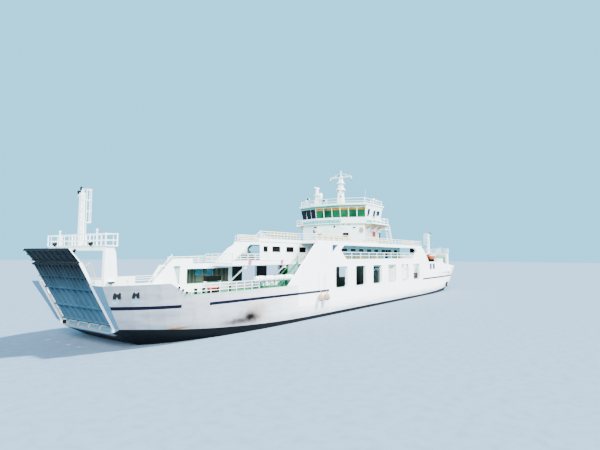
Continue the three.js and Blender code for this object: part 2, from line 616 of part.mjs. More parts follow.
const sideRail = railing([[-41.5, -RAIL_Y, SIDE_DECK + GAP], [-31.6, -RAIL_Y, SIDE_DECK + GAP]], { pitch: 2 });
addHalfTurn('side_deck_rail', sideRail, WHITE);
const sunRail = (() => {
  const main = SUN_DECK + GAP;
  const step = AFT_SUN_DECK + GAP;
  const [edge, narrow, broadAft] = [-RAIL_Y, -4.93, SUN.broad - 0.1];
  const fore = 2 * TURN_X - SUN.broad - 0.12;
  const rail = { height: 0.95, pitch: 4.0 };
  return join([
    railing([[-32.05, -4.72, step], [-28.8, -4.72, step]], { height: 0.9, pitch: 1.7 }),
    squareBar([-28.8, -4.72, step + 0.83], [-28.2, narrow, main + 0.87]),
    railing([[-19.7, 1.3, main], [-28.2, narrow + 0.05, main]], rail),
    railing([[-28.2, narrow, main], [broadAft, narrow, main], [broadAft, edge, main], [fore, edge, main],
      [fore, -1.7, main]], rail),
  ]);
})();
addHalfTurn('sun_deck_rail', sunRail, WHITE);

// Bridge wings: a platform each side with brackets and its own railing
const WING = { from: -2.6, to: 3.9, outer: 8.0, slab: 0.2 };
function bridgeWing() {
  const inner = BRIDGE.half + 0.03;
  const top = BRIDGE_DECK;
  const slab = box([WING.from, WING.to], [-WING.outer, -inner], [top - WING.slab, top]);
  const brackets = [-1.6, 0.6, 2.8].map((x) => {
    const points = [[-inner - 0.05, 12.6], [-inner - 0.05, top - 0.07], [-WING.outer + 0.2, top - 0.07]];
    const geometry = extrude(points, 0.12);
    const basis = new THREE.Matrix4().makeBasis(
      new THREE.Vector3(0, 1, 0), new THREE.Vector3(0, 0, 1), new THREE.Vector3(1, 0, 0));
    geometry.applyMatrix4(basis);
    geometry.translate(x, 0, 0);
    return toSolid(geometry);
  });
  const rail = railing([
    [WING.from + 0.1, -inner - 0.1, top - 0.05], [WING.from + 0.1, 0.1 - WING.outer, top - 0.05],
    [WING.to - 0.1, 0.1 - WING.outer, top - 0.05], [WING.to - 0.1, -inner - 0.1, top - 0.05],
  ], { height: 1.05, pitch: 1.8 });
  return join([slab, ...brackets, rail]);
}
addBothSides('bridge_wing', bridgeWing(), WHITE);

// Main mast on the wheelhouse roof
const MAST_X = 0.5;
const square = (x, y, half, z) => [
  [x - half, y - half, z], [x + half, y - half, z], [x + half, y + half, z], [x - half, y + half, z],
];
function mainMast() {
  const foot = ROOF_TOP + GAP;
  const trunk = loft([
    square(MAST_X, 0, 0.6, foot), square(MAST_X, 0, 0.45, 19.6), square(MAST_X, 0, 0.22, 23.4),
  ]);
  return join([
    trunk,
    bar([MAST_X, 0, 23.3], [MAST_X, 0, 24.4], 0.08),
    box([MAST_X - 0.5, MAST_X + 0.5], [-0.8, 0.8], [20.6, 20.7]),
    box([MAST_X - 0.7, MAST_X + 0.7], [-0.5, 0.5], [21.9, 22.0]),
    squareBar([MAST_X, -2.3, 23.1], [MAST_X, 2.3, 23.1], 0.12),
    squareBar([MAST_X, -2.25, 22.6], [MAST_X, -2.25, 23.1], 0.1),
    squareBar([MAST_X, 2.25, 22.6], [MAST_X, 2.25, 23.1], 0.1),
  ]);
}
add('main_mast', mainMast(), WHITE);

const RADAR = { x: -1.5, y: 4.0, top: 20.9, scanner: 21.05 };
const radarMast = join([
  loft([square(RADAR.x, RADAR.y, 0.28, ROOF_TOP + GAP), square(RADAR.x, RADAR.y, 0.2, RADAR.top)]),
  box([RADAR.x - 0.45, RADAR.x + 0.45], [RADAR.y - 0.45, RADAR.y + 0.45], [19.7, 19.8]),
  bar([RADAR.x, RADAR.y, RADAR.top - 0.4], [RADAR.x, RADAR.y, RADAR.top], 0.26, { sides: 12 }),
]);
add('radar_mast', radarMast, WHITE);
const scannerFoot = RADAR.top + 0.02;
const scanner = join([
  bar([RADAR.x, RADAR.y, scannerFoot], [RADAR.x, RADAR.y, RADAR.scanner + 0.05], 0.12, { sides: 12 }),
  box([RADAR.x - 0.8, RADAR.x + 0.8], [RADAR.y - 0.09, RADAR.y + 0.09], [RADAR.scanner, RADAR.scanner + 0.22]),
]);
add('radar_scanner', scanner, WHITE);

// Gantry at each end: two legs, a beam with a railed platform, a mast and its caged ladder
const GANTRY = { x: 48.4, legInner: 4.75, legOuter: 5.15, top: 9.25, beam: 0.4, mastTop: 14.65 };
function gantry() {
  const { x, legInner, legOuter, top, beam, mastTop } = GANTRY;
  const arc = Array.from({ length: 5 }, (unused, i) => {
    const angle = (i * Math.PI) / 8;
    return [48.6 - 0.7 * Math.sin(angle), top - 0.7 + 0.7 * Math.cos(angle)];
  });
  const foot = SIDE_DECK + GAP;
  const leg = [[48.95, foot], [48.95, 6.8], [48.9, top], ...arc, [47.64, 5.8], [47.4, foot]];
  const legs = [sidePlate(leg, [-legOuter, -legInner]), sidePlate(leg, [legInner, legOuter])];
  const cross = box([x - 0.35, 48.9], [-legOuter, legOuter], [top - beam, top]);
  const platform = box([x - 0.6, x + 0.6], [-legOuter - 0.1, legOuter + 0.1], [top - 0.02, top + 0.08]);
  const deck = top + 0.05;
  const [fore, aft, side] = [x + 0.55, x - 0.55, legOuter + 0.05];
  const rail = railing([
    [aft, side, deck], [aft, -side, deck], [fore, -side, deck], [fore, side, deck], [aft, side, deck],
  ], { height: 1.1, pitch: 2.6 });
  const mast = loft([square(x, 0, 0.22, top), square(x, 0, 0.19, mastTop - 0.3)]);
  const ladderY = 0.45;
  const ladder = [-0.2, 0.2].map((dx) => squareBar([x + dx, ladderY, top], [x + dx, ladderY, mastTop], 0.05));
  const ties = [10.2, 11.6, 13.0, 14.2].map((z) => squareBar([x, 0, z], [x, ladderY, z], 0.05));
  const outer = [[-0.22, ladderY], [-0.4, 0.95], [-0.22, 1.37], [0.22, 1.37], [0.4, 0.95], [0.22, ladderY]];
  const inner = [[0.17, ladderY], [0.34, 0.95], [0.18, 1.31], [-0.18, 1.31], [-0.34, 0.95], [-0.17, ladderY]];
  const hoop = [...outer, ...inner].map(([dx, y]) => [x + dx, y]);
  const hoops = [11.45, 12.5, 13.55, 14.55].map((z) => deckPlate(hoop, [z, z + 0.05]));
  const staves = [[-0.37, 0.95], [0, 1.34], [0.37, 0.95]].map(([dx, y]) =>
    squareBar([x + dx, y, 11.46], [x + dx, y, 14.58], 0.05));
  const lampArm = squareBar([x, 0, 14.1], [x, -0.8, 14.1], 0.08);
  return join([...legs, cross, platform, rail, mast, ...ladder, ...ties, ...hoops, ...staves, lampArm]);
}
const gantrySolid = gantry();
add('gantry_bow', gantrySolid, WHITE);
add('gantry_stern', gantrySolid.rotate([0, 0, 180]), WHITE);

// Stairs from the passenger deck down to the side deck, both sides
const STAIRS = { top: -20.75, foot: -25.4, inner: 5.4, outer: 6.6, steps: 11 };
function stairs() {
  const { top, foot, inner, outer, steps } = STAIRS;
  const bottom = SIDE_DECK + GAP;
  const rise = PASSENGER_DECK - bottom;
  const run = top - foot;
  const middle = (top + foot) / 2;
  const stringer = [
    [foot, bottom], [foot + 0.5, bottom], [top, PASSENGER_DECK - 0.25], [top, PASSENGER_DECK],
    [top - 0.15, PASSENGER_DECK],
  ];
  const stringers = [sidePlate(stringer, [-outer, -outer + 0.06]), sidePlate(stringer, [-inner - 0.06, -inner])];
  const treads = Array.from({ length: steps }, (unused, i) => {
    const x = foot + (run * (i + 1)) / (steps + 1);
    const z = bottom + (rise * (i + 1)) / (steps + 1);
    return box([x - 0.14, x + 0.16], [-outer, -inner], [z - 0.12, z - 0.07]);
  });
  const hand = [-outer + 0.03, -inner - 0.03].flatMap((y) => [
    squareBar([foot + 0.2, y, bottom + 0.95], [top, y, PASSENGER_DECK + 0.8], 0.05),
    squareBar([foot + 0.2, y, bottom + 0.05], [foot + 0.2, y, bottom + 0.97], 0.05),
    squareBar([top - 0.05, y, PASSENGER_DECK - 0.1], [top - 0.05, y, PASSENGER_DECK + 0.8], 0.05),
    squareBar([middle, y, bottom + rise / 2 - 0.1], [middle, y, bottom + rise / 2 + 0.9], 0.05),
  ]);
  return join([...stringers, ...treads, ...hand]);
}
addHalfTurn('stairs', stairs(), DECK_GREEN);

// Liferaft canisters in a row on a frame
const RAFTS = { from: -31.7, count: 4, pitch: 1.9, length: 1.74, radius: 0.36, y: 7.1, axis: 5.7, beam: 5.45 };
function liferafts() {
  const foot = SIDE_DECK + GAP;
  const end = RAFTS.from + RAFTS.count * RAFTS.pitch;
  const beams = [-0.28, 0.28].map((dy) =>
    squareBar([RAFTS.from, -RAFTS.y + dy, RAFTS.beam], [end, -RAFTS.y + dy, RAFTS.beam], 0.12));
  const legs = Array.from({ length: RAFTS.count + 1 }, (unused, i) => {
    const x = Math.min(Math.max(RAFTS.from + i * RAFTS.pitch, RAFTS.from + 0.06), end - 0.06);
    return [
      squareBar([x, -RAFTS.y - 0.28, foot], [x, -RAFTS.y - 0.28, RAFTS.beam], 0.1),
      squareBar([x, -RAFTS.y + 0.28, foot], [x, -RAFTS.y + 0.28, RAFTS.beam], 0.1),
      squareBar([x, -RAFTS.y - 0.28, RAFTS.beam], [x, -RAFTS.y + 0.28, RAFTS.beam], 0.1),
    ];
  }).flat();
  const canisters = Array.from({ length: RAFTS.count }, (unused, i) => {
    const x = RAFTS.from + (i + 0.5) * RAFTS.pitch;
    const half = RAFTS.length / 2;
    return bar([x - half, -RAFTS.y, RAFTS.axis], [x + half, -RAFTS.y, RAFTS.axis], RAFTS.radius, { sides: 12 });
  });
  return join([...beams, ...legs, ...canisters]);
}
addHalfTurn('liferafts', liferafts(), WHITE);

// Long benches on the sun deck
const BENCH = { from: -18.9, to: 18.6, y: 7.15, seat: 0.42, back: 0.8 };
const bench = join([
  box([BENCH.from, BENCH.to], [-BENCH.y - 0.25, -BENCH.y + 0.25],
    [SUN_DECK + BENCH.seat - 0.06, SUN_DECK + BENCH.seat]),
  box([BENCH.from, BENCH.to], [-BENCH.y - 0.29, -BENCH.y - 0.23],
    [SUN_DECK + BENCH.seat - 0.06, SUN_DECK + BENCH.back]),
  ...Array.from({ length: 10 }, (unused, i) => {
    const x = BENCH.from + 0.5 + i * 4.0;
    return box([x, x + 0.08], [-BENCH.y - 0.25, -BENCH.y + 0.2], [SUN_DECK + GAP, SUN_DECK + BENCH.seat - 0.03]);
  }),
]);
addHalfTurn('bench', bench, WOOD_YELLOW);

// Rescue boat, its cradle with the davit's post, and the slewing davit, on the starboard boat deck
const BOAT = { x: 30.9, y: -6.4, length: 5.1, half: 0.9, keel: 7.6, gunwale: 8.6 };
const DAVIT = { x: 27.5, y: -6.4, post: 7.95, head: 9.05, reach: 3.1 };
function rescueBoat() {
  const { x, y, length, half, keel, gunwale } = BOAT;
  // Columns: share of the half length, share of the half breadth, keel lift
  const rows = [[-1, 0.75, 0.12], [-0.5, 1, 0], [0.2, 1, 0], [0.75, 0.7, 0.12], [1, 0.12, 0.4]];
  const rings = rows.map(([along, wide, lift]) => {
    const px = x + (along * length) / 2;
    const w = half * wide;
    return [
      [px, y - w, gunwale], [px, y - 0.7 * w, keel + lift + 0.2], [px, y - 0.05, keel + lift],
      [px, y + 0.05, keel + lift], [px, y + 0.7 * w, keel + lift + 0.2], [px, y + w, gunwale],
    ];
  });
  const body = loft(rings);
  const well = box([x - 1.9, x + 1.3], [y - 0.5, y + 0.5], [keel + 0.5, gunwale + 1]);
  return cut(body, [well]);
}
add('rescue_boat', rescueBoat(), ORANGE);
const cradle = join([
  ...[-1.3, 1.1].map((dx) =>
    box([BOAT.x + dx, BOAT.x + dx + 0.14], [BOAT.y - 0.5, BOAT.y + 0.5], [BOAT_DECK + GAP, 8.0])),
  box([DAVIT.x - 0.2, BOAT.x + 1.24], [BOAT.y - 0.08, BOAT.y + 0.08], [BOAT_DECK + GAP, BOAT_DECK + 0.2]),
  bar([DAVIT.x, DAVIT.y, BOAT_DECK + GAP], [DAVIT.x, DAVIT.y, DAVIT.post], 0.2, { sides: 12 }),
]).subtract(rescueBoat().translate([0, 0, -GAP]));
add('boat_cradle', cradle, DARK_STEEL);

const davitArm = join([
  bar([DAVIT.x, DAVIT.y, DAVIT.post + 0.01], [DAVIT.x, DAVIT.y, DAVIT.head], 0.14, { sides: 12 }),
  squareBar([DAVIT.x - 0.4, DAVIT.y, DAVIT.head - 0.05], [DAVIT.x + DAVIT.reach, DAVIT.y, DAVIT.head + 0.1], 0.18),
  squareBar([DAVIT.x, DAVIT.y, DAVIT.post + 0.3], [DAVIT.x + 0.8, DAVIT.y, DAVIT.head], 0.1),
]);
add('davit_arm', davitArm, WHITE);

// Round fenders hung against the starboard side
function fender(x) {
  const profile = [
    [0, -0.55], [0.25, -0.5], [0.42, -0.2], [0.42, 0.2], [0.25, 0.48], [0.08, 0.55], [0.08, 0.7], [0, 0.7],
  ];
  const geometry = new THREE.LatheGeometry(profile.map(([r, h]) => new THREE.Vector2(r, h)), 12);
  geometry.rotateX(Math.PI / 2);
  geometry.translate(x, -HALF_BEAM - 0.42 - GAP, 2.75);
  return toSolid(geometry);
}
add('fender_aft', fender(-19.25), RUBBER_TAN);
add('fender_fore', fender(-17.75), RUBBER_TAN);

// Anchors stowed against the hull under each bow corner: a long shank with two flukes at its aft end
const HULL_TURN = 6;
function anchor() {
  const shank = squareBar([-1.1, 0, -0.25], [1.0, 0, 0.3], 0.2);
  const crown = box([-1.25, -1.0], [-0.13, 0.13], [-0.7, 0.2]);
  const flukes = [-0.7, 0.02].map((z) => box([-1.1, -0.35], [-0.13, 0.1], [z, z + 0.18]));
  return join([shank, crown, ...flukes]).rotate([0, 0, HULL_TURN]).translate([ANCHOR.x, ANCHOR.y, ANCHOR.z]);
}
addBothSides('anchor', anchor(), DARK_STEEL);

// Thrusters: a turning leg with a pod, and a four-bladed propeller at the pod's outer end
function thruster() {
  const { seat, legRadius, axis } = THRUSTER;
  const top = seat - 0.01;
  return join([
    bar([0, 0, top - 0.2], [0, 0, top], 0.85, { sides: 16 }),
    bar([0, 0, axis], [0, 0, top - 0.1], legRadius, { sides: 12 }),
    bar([-1.0, 0, axis], [1.0, 0, axis], 0.4, { sides: 12 }),
    bar([-1.6, 0, axis], [-1.0, 0, axis], 0.08, { endRadius: 0.4, sides: 12 }),
  ]);
}
function propeller() {
  const { axis } = THRUSTER;
  const hub = bar([1.02, 0, axis], [1.5, 0, axis], 0.3, { endRadius: 0.2, sides: 12 });
  const blade = (index) => {
    const geometry = new THREE.BoxGeometry(0.06, 0.42, 0.75);
    geometry.rotateZ(THREE.MathUtils.degToRad(30));
    geometry.translate(1.25, 0, 0.52);
    geometry.rotateX((index * Math.PI) / 2 + Math.PI / 4);
    geometry.translate(0, 0, axis);
    return toSolid(geometry);
  };
  return join([hub, blade(0), blade(1), blade(2), blade(3)]);
}
for (const [end, endSide] of [['stern', -1], ['bow', 1]]) {
  for (const [hand, handSide] of [['starboard', -1], ['port', 1]]) {
    const place = (solid) => {
      const turned = endSide < 0 ? solid.rotate([0, 0, 180]) : solid;
      return turned.translate([endSide * THRUSTER.x, handSide * THRUSTER.y, 0]);
    };
    add(`thruster_${end}_${hand}`, place(thruster()), DARK_STEEL);
    add(`propeller_${end}_${hand}`, place(propeller()), BRONZE);
  }
}

// Ramps: a stiffened main panel on the hinge and a flap at its end, drawn lying outboard and then raised
const RAMP = { length: 6.6, half: 4.18, plate: 0.1, flapRaised: 50 };
const FLAP = { length: 1.5, gap: 0.08, depth: 0.22 };
// Ribs of a panel. Columns: from, to, count, rib width
const MAIN_RIBS = [[0.15, 3.95, 15, 0.07], [3.95, 6.58, 18, 0.06]];
const FLAP_RIBS = [[0.1, 1.56, 12, 0.06]];
function stiffened(from, to, depth, beams, ribRows) {
  const { half, plate: thickness } = RAMP;
  const plate = box([from, to], [-half, half], [-thickness, 0]);
  const crossBeams = beams.map(([x, width]) => box([x, x + width], [-half, half], [-depth, -0.05]));
  const ribs = ribRows.flatMap(([start, end, count, width]) => Array.from({ length: count }, (unused, i) => {
    const y = -half + (i * (2 * half - width)) / (count - 1);
    return box([start, end], [y, y + width], [-0.75 * depth, -0.05]);
  }));
  return join([plate, ...crossBeams, ...ribs]);
}
function rampPanel() {
  const beams = [[0.12, 0.12], [1.78, 0.12], [3.93, 0.12], [5.45, 0.08], [6.48, 0.12]];
  const panel = stiffened(0.12, RAMP.length, RAMP_DEPTH, beams, MAIN_RIBS);
  const reach = LUG.half + LUG.clear;
  const lugSlots = LUG.places.map((y) => box([0, 0.3], [y - reach, y + reach], [-1, 1]));
  const knuckles = LUG.places.slice(1).map((y, i) => {
    const width = [LUG.places[i] + reach, y - reach];
    return join([
      bar([0, width[0], 0], [0, width[1], 0], 0.1, { sides: 8 }),
      box([0, 0.2], width, [-RAMP.plate, 0]),
    ]);
  });
  return join([cut(panel, lugSlots), ...knuckles]);
}
const mainPanel = rampPanel();
const FLAP_BEAMS = [[0.24, 0.08], [1.45, 0.08]];
const flapPanel = stiffened(FLAP.gap, FLAP.gap + FLAP.length, FLAP.depth, FLAP_BEAMS, FLAP_RIBS);

for (const [end, heading] of [['stern', Math.PI], ['bow', 0]]) {
  const endGroup = new THREE.Group();
  endGroup.rotation.z = heading;
  const rampGroup = new THREE.Group();
  rampGroup.position.set(RAMP_HINGE[0] * MODEL, 0, RAMP_HINGE[1] * MODEL);
  rampGroup.rotation.y = -END_RAKE;
  rampGroup.add(toMesh(`ramp_${end}`, mainPanel, RAMP_GREY));
  const flapGroup = new THREE.Group();
  flapGroup.position.set(RAMP.length * MODEL, 0, 0);
  flapGroup.rotation.y = END_RAKE - THREE.MathUtils.degToRad(RAMP.flapRaised);
  flapGroup.add(toMesh(`flap_${end}`, flapPanel, RAMP_GREY));
  rampGroup.add(flapGroup);
  endGroup.add(rampGroup);
  ferry.add(endGroup);
}

export default ferry;
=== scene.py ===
"""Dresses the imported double-ended ferry, a 1:10 model afloat, as the photograph shows it."""
import math
import bpy
from mathutils import Matrix, Vector


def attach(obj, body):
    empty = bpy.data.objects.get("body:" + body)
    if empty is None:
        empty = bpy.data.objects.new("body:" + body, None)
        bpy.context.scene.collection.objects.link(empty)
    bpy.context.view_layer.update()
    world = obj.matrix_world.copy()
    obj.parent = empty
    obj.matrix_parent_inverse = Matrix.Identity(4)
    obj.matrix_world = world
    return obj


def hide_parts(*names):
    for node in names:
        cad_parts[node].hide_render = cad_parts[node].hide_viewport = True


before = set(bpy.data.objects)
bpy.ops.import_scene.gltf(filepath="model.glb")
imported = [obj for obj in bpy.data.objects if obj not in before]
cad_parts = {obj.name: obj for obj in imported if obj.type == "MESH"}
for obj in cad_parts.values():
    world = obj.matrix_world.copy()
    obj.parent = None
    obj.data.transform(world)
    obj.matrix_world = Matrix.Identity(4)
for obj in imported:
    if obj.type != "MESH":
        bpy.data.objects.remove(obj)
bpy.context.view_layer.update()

# Sizes below are in metres of the real ferry; MODEL turns them into the model's metres
MODEL = 0.1

# Levels above the waterline and main breadths, as in the solids
CAR_DECK = 1.9
SIDE_DECK = 4.65
BOAT_DECK = 7.1
WALKWAY = 7.47
PASSENGER_DECK = 7.6
AFT_SUN_DECK = 10.05
SUN_DECK = 10.6
BRIDGE_DECK = 14.15
WINDOW_SILL = 15.15
WINDOW_HEAD = 16.85
ROOF_UNDER = 17.2
ROOF_TOP = 17.65
HALF_BEAM = 7.9
RAIL_Y = -HALF_BEAM + 0.12

# The superstructure looks the same after half a turn about the upright line at TURN_X, so what
# stands on it is drawn for starboard and turned for port
TURN_X = 0.8


def half_turn(x):
    return Matrix.Translation((2 * x, 0, 0)) @ Matrix.Rotation(math.pi, 4, "Z")


AS_DRAWN = Matrix.Identity(4)
HANDS = (("starboard", AS_DRAWN), ("port", half_turn(TURN_X)))
# Ramps, gantries and fairleads are drawn at the bow and turned about amidships for the stern
ENDS = (("stern", half_turn(0)), ("bow", AS_DRAWN))
SIDES = (-1, 1)


def linear(code):
    """A #rrggbb colour as the linear colour that a shader takes."""
    values = [int(code[i:i + 2], 16) / 255 for i in (1, 3, 5)]
    return tuple(v / 12.92 if v <= 0.04045 else ((v + 0.055) / 1.055) ** 2.4 for v in values) + (1.0,)


# Materials

class Paint:
    """A material whose nodes read the place on the ferry, in real metres."""

    def __init__(self, name, rough=0.5, metal=0.0, **sockets):
        self.material = bpy.data.materials.new(name)
        self.material.use_nodes = True
        self.tree = self.material.node_tree
        self.shader = self.tree.nodes["Principled BSDF"]
        self.shader.inputs["Roughness"].default_value = rough
        self.shader.inputs["Metallic"].default_value = metal
        for socket, value in sockets.items():
            self.shader.inputs[socket.replace("_", " ")].default_value = value
        self._place = None

    def link(self, value, socket):
        if isinstance(value, bpy.types.NodeSocket):
            self.tree.links.new(value, socket)
        else:
            socket.default_value = value

    def node(self, kind, *inputs, **settings):
        made = self.tree.nodes.new(kind)
        for key, value in settings.items():
            setattr(made, key, value)
        for i, value in enumerate(inputs):
            if value is not None:
                self.link(value, made.inputs[i])
        return made

    def place(self):
        if self._place is None:
            coordinates = self.node("ShaderNodeTexCoord")
            scaled = self.node("ShaderNodeVectorMath", coordinates.outputs["Object"], operation="SCALE")
            scaled.inputs["Scale"].default_value = 1 / MODEL
            self._place = scaled.outputs[0]
        return self._place

    def axes(self):
        return self.node("ShaderNodeSeparateXYZ", self.place()).outputs[:3]

    def facing(self):
        geometry = self.node("ShaderNodeNewGeometry")
        return self.node("ShaderNodeSeparateXYZ", geometry.outputs["Normal"]).outputs[:3]

    def math(self, operation, a, b=0.0, c=0.0):
        return self.node("ShaderNodeMath", a, b, c, operation=operation).outputs[0]

    def both(self, *masks):
        share = masks[0]
        for mask in masks[1:]:
            share = self.math("MULTIPLY", share, mask)
        return share

    def minus(self, a, b):
        return self.math("SUBTRACT", a, b)

    def inverse(self, mask):
        return self.minus(1.0, mask)

    def absolute(self, value):
        return self.math("ABSOLUTE", value)

    def from_turn(self):
        """Distance fore or aft of the line about which the superstructure repeats."""
        return self.absolute(self.minus(self.axes()[0], TURN_X))

    def upward(self):
        return self.step(self.facing()[2], 0.9, 0.95)

    def endward(self, low, high):
        """1 on faces that look fore or aft."""
        return self.step(self.absolute(self.facing()[0]), low, high)

    def outboard(self):
        """How far a face looks away from the ferry's middle line, from -1 to 1."""
        return self.both(self.facing()[1], self.math("SIGN", self.axes()[1]))

    def step(self, value, low, high):
        """0 below low, 1 above high and smooth between."""
        made = self.node("ShaderNodeMapRange", interpolation_type="SMOOTHSTEP")
        self.link(value, made.inputs["Value"])
        made.inputs["From Min"].default_value = low
        made.inputs["From Max"].default_value = high
        return made.outputs[0]

    def band(self, value, low, high, soft=0.01):
        """1 between low and high."""
        below = self.inverse(self.step(value, high - soft, high + soft))
        return self.both(self.step(value, low - soft, low + soft), below)

    def noise(self, scale, stretch=(1, 1, 1), detail=3.0, rough=0.55):
        moved = self.node("ShaderNodeVectorMath", self.place(), stretch, operation="MULTIPLY")
        made = self.node("ShaderNodeTexNoise", moved.outputs[0])
        made.inputs["Scale"].default_value = scale
        made.inputs["Detail"].default_value = detail
        made.inputs["Roughness"].default_value = rough
        return made.outputs["Fac"]

    def mix(self, share, a, b):
        """A colour is a socket, four values or a #rrggbb code."""
        made = self.node("ShaderNodeMix", data_type="RGBA")
        self.link(share, made.inputs["Factor"])
        sockets = [s for s in made.inputs if s.type == "RGBA"]
        for colour, socket in zip((a, b), sockets):
            self.link(linear(colour) if isinstance(colour, str) else colour, socket)
        return [s for s in made.outputs if s.type == "RGBA"][0]

    def over(self, colour, coat, *masks):
        """The colour, with a coat on it where all the masks are 1."""
        return self.mix(self.both(*masks), colour, coat)

    def bump(self, height, strength, distance):
        made = self.node("ShaderNodeBump")
        made.inputs["Strength"].default_value = strength
        made.inputs["Distance"].default_value = distance * MODEL
        self.link(height, made.inputs["Height"])
        self.tree.links.new(made.outputs[0], self.shader.inputs["Normal"])

    def colour(self, value):
        self.link(value, self.shader.inputs["Base Color"])
        return self.material


def weathered(paint, clean, dirty, streaks=0.35):
    """A clean colour with faint patches and rain streaks of a dirty one."""
    patches = paint.step(paint.noise(0.35, detail=4.0), 0.42, 0.78)
    runs = paint.step(paint.noise(1.6, stretch=(1, 1, 0.06), detail=2.0), 0.55, 0.85)
    share = paint.math("MULTIPLY_ADD", patches, 0.25, paint.both(runs, streaks))
    return paint.mix(share, clean, dirty)


def with_green_deck(paint, colour, lowest=3.0):
    """Upward faces above that height are painted deck green."""
    patches = paint.step(paint.noise(0.9, detail=5.0), 0.45, 0.75)
    worn = paint.mix(patches, "#177a50", "#4d8067")
    above = paint.step(paint.axes()[2], lowest - 0.01, lowest + 0.01)
    return paint.over(colour, worn, paint.upward(), above)


# Stains on the hull's starboard side. Columns: x, z, half length, half height, colour, share
STAINS = (
    (-32.2, 2.1, 3.0, 1.7, "#8d776a", 0.6), (-34.9, 1.36, 3.3, 0.55, "#3a302a", 0.9),
    (-33.0, 1.65, 2.2, 1.0, "#0a0504", 1.0),
    (-42.5, 1.52, 1.7, 0.17, "#7a4a12", 1.0), (-30.6, 1.2, 1.8, 0.3, "#9a948c", 0.5),
    (39.1, 1.85, 1.5, 0.5, "#24120f", 0.97),
)
FAIRLEAD_X = (-48.5, -46.98)
# Runs below and above each stern fairlead. Columns: half width, its softness, z from and to, their
# softness, share, colour
FAIRLEAD_RUNS = (
    (0.2, 0.05, 4.3, 4.8, 0.12, 0.75, "#9cbccb"), (0.05, 0.04, 5.25, 5.8, 0.2, 0.4, "#8d8f96"),
)


def hull_stains(paint, colour, x, y, z):
    outer = paint.step(paint.both(paint.facing()[1], -1.0), 0.2, 0.25)
    starboard = paint.both(paint.math("LESS_THAN", y, 0.0), outer)
    for stain_x, stain_z, half_x, half_z, code, share in STAINS:
        dx = paint.math("DIVIDE", paint.minus(x, stain_x), half_x)
        dz = paint.math("DIVIDE", paint.minus(z, stain_z), half_z)
        off = paint.math("SQRT", paint.math("ADD", paint.both(dx, dx), paint.both(dz, dz)))
        ragged = paint.math("MULTIPLY_ADD", paint.noise(1.1, detail=5.0), 0.8, off)
        mask = paint.both(paint.inverse(paint.step(ragged, 0.5, 1.5)), starboard, share)
        colour = paint.mix(mask, colour, code)
    for run in FAIRLEAD_X:
        for half_x, soft_x, low, high, soft_z, share, code in FAIRLEAD_RUNS:
            across = paint.band(x, run - half_x, run + half_x, soft_x)
            colour = paint.over(colour, code, across, paint.band(z, low, high, soft_z), starboard, share)
    return colour


# Stretches of the navy stripe, by x from and to, starboard; port has them after the half turn
STRIPE = ((-48.9, -42.4), (-39.1, -16.5), (21.65, 47.0))
STRIPE_HEIGHT, STRIPE_HALF = 3.5, 0.16


def with_stripe(paint, colour, x, y, z):
    """The stripe is nearly level and lifts at the stern."""
    aft = paint.math("MAXIMUM", paint.minus(-40.0, x), 0.0)
    lift = paint.both(aft, aft, 0.0035)
    sheer = paint.math("MULTIPLY_ADD", paint.absolute(x), 0.0025, STRIPE_HEIGHT)
    centre = paint.math("ADD", sheer, lift)
    off = paint.absolute(paint.minus(z, centre))
    level = paint.inverse(paint.step(off, STRIPE_HALF - 0.02, STRIPE_HALF + 0.02))
    starboard = paint.math("LESS_THAN", y, 0.0)
    turned = paint.minus(2 * TURN_X, x)
    place = paint.math("MULTIPLY_ADD", paint.minus(x, turned), starboard, turned)
    first, second, third = [paint.band(place, low, high, 0.02) for low, high in STRIPE]
    anywhere = paint.math("MAXIMUM", first, paint.math("MAXIMUM", second, third))
    outside = paint.step(paint.outboard(), 0.3, 0.35)
    return paint.over(colour, "#08081a", level, anywhere, outside)


# The black bottom's upper edge: level amidships, then rising along the knuckle as a power of the
# distance
BOTTOM_EDGE = {"height": 0.45, "level_to": 20.0, "run": 27.6, "rise": 1.5, "power": 2.1}


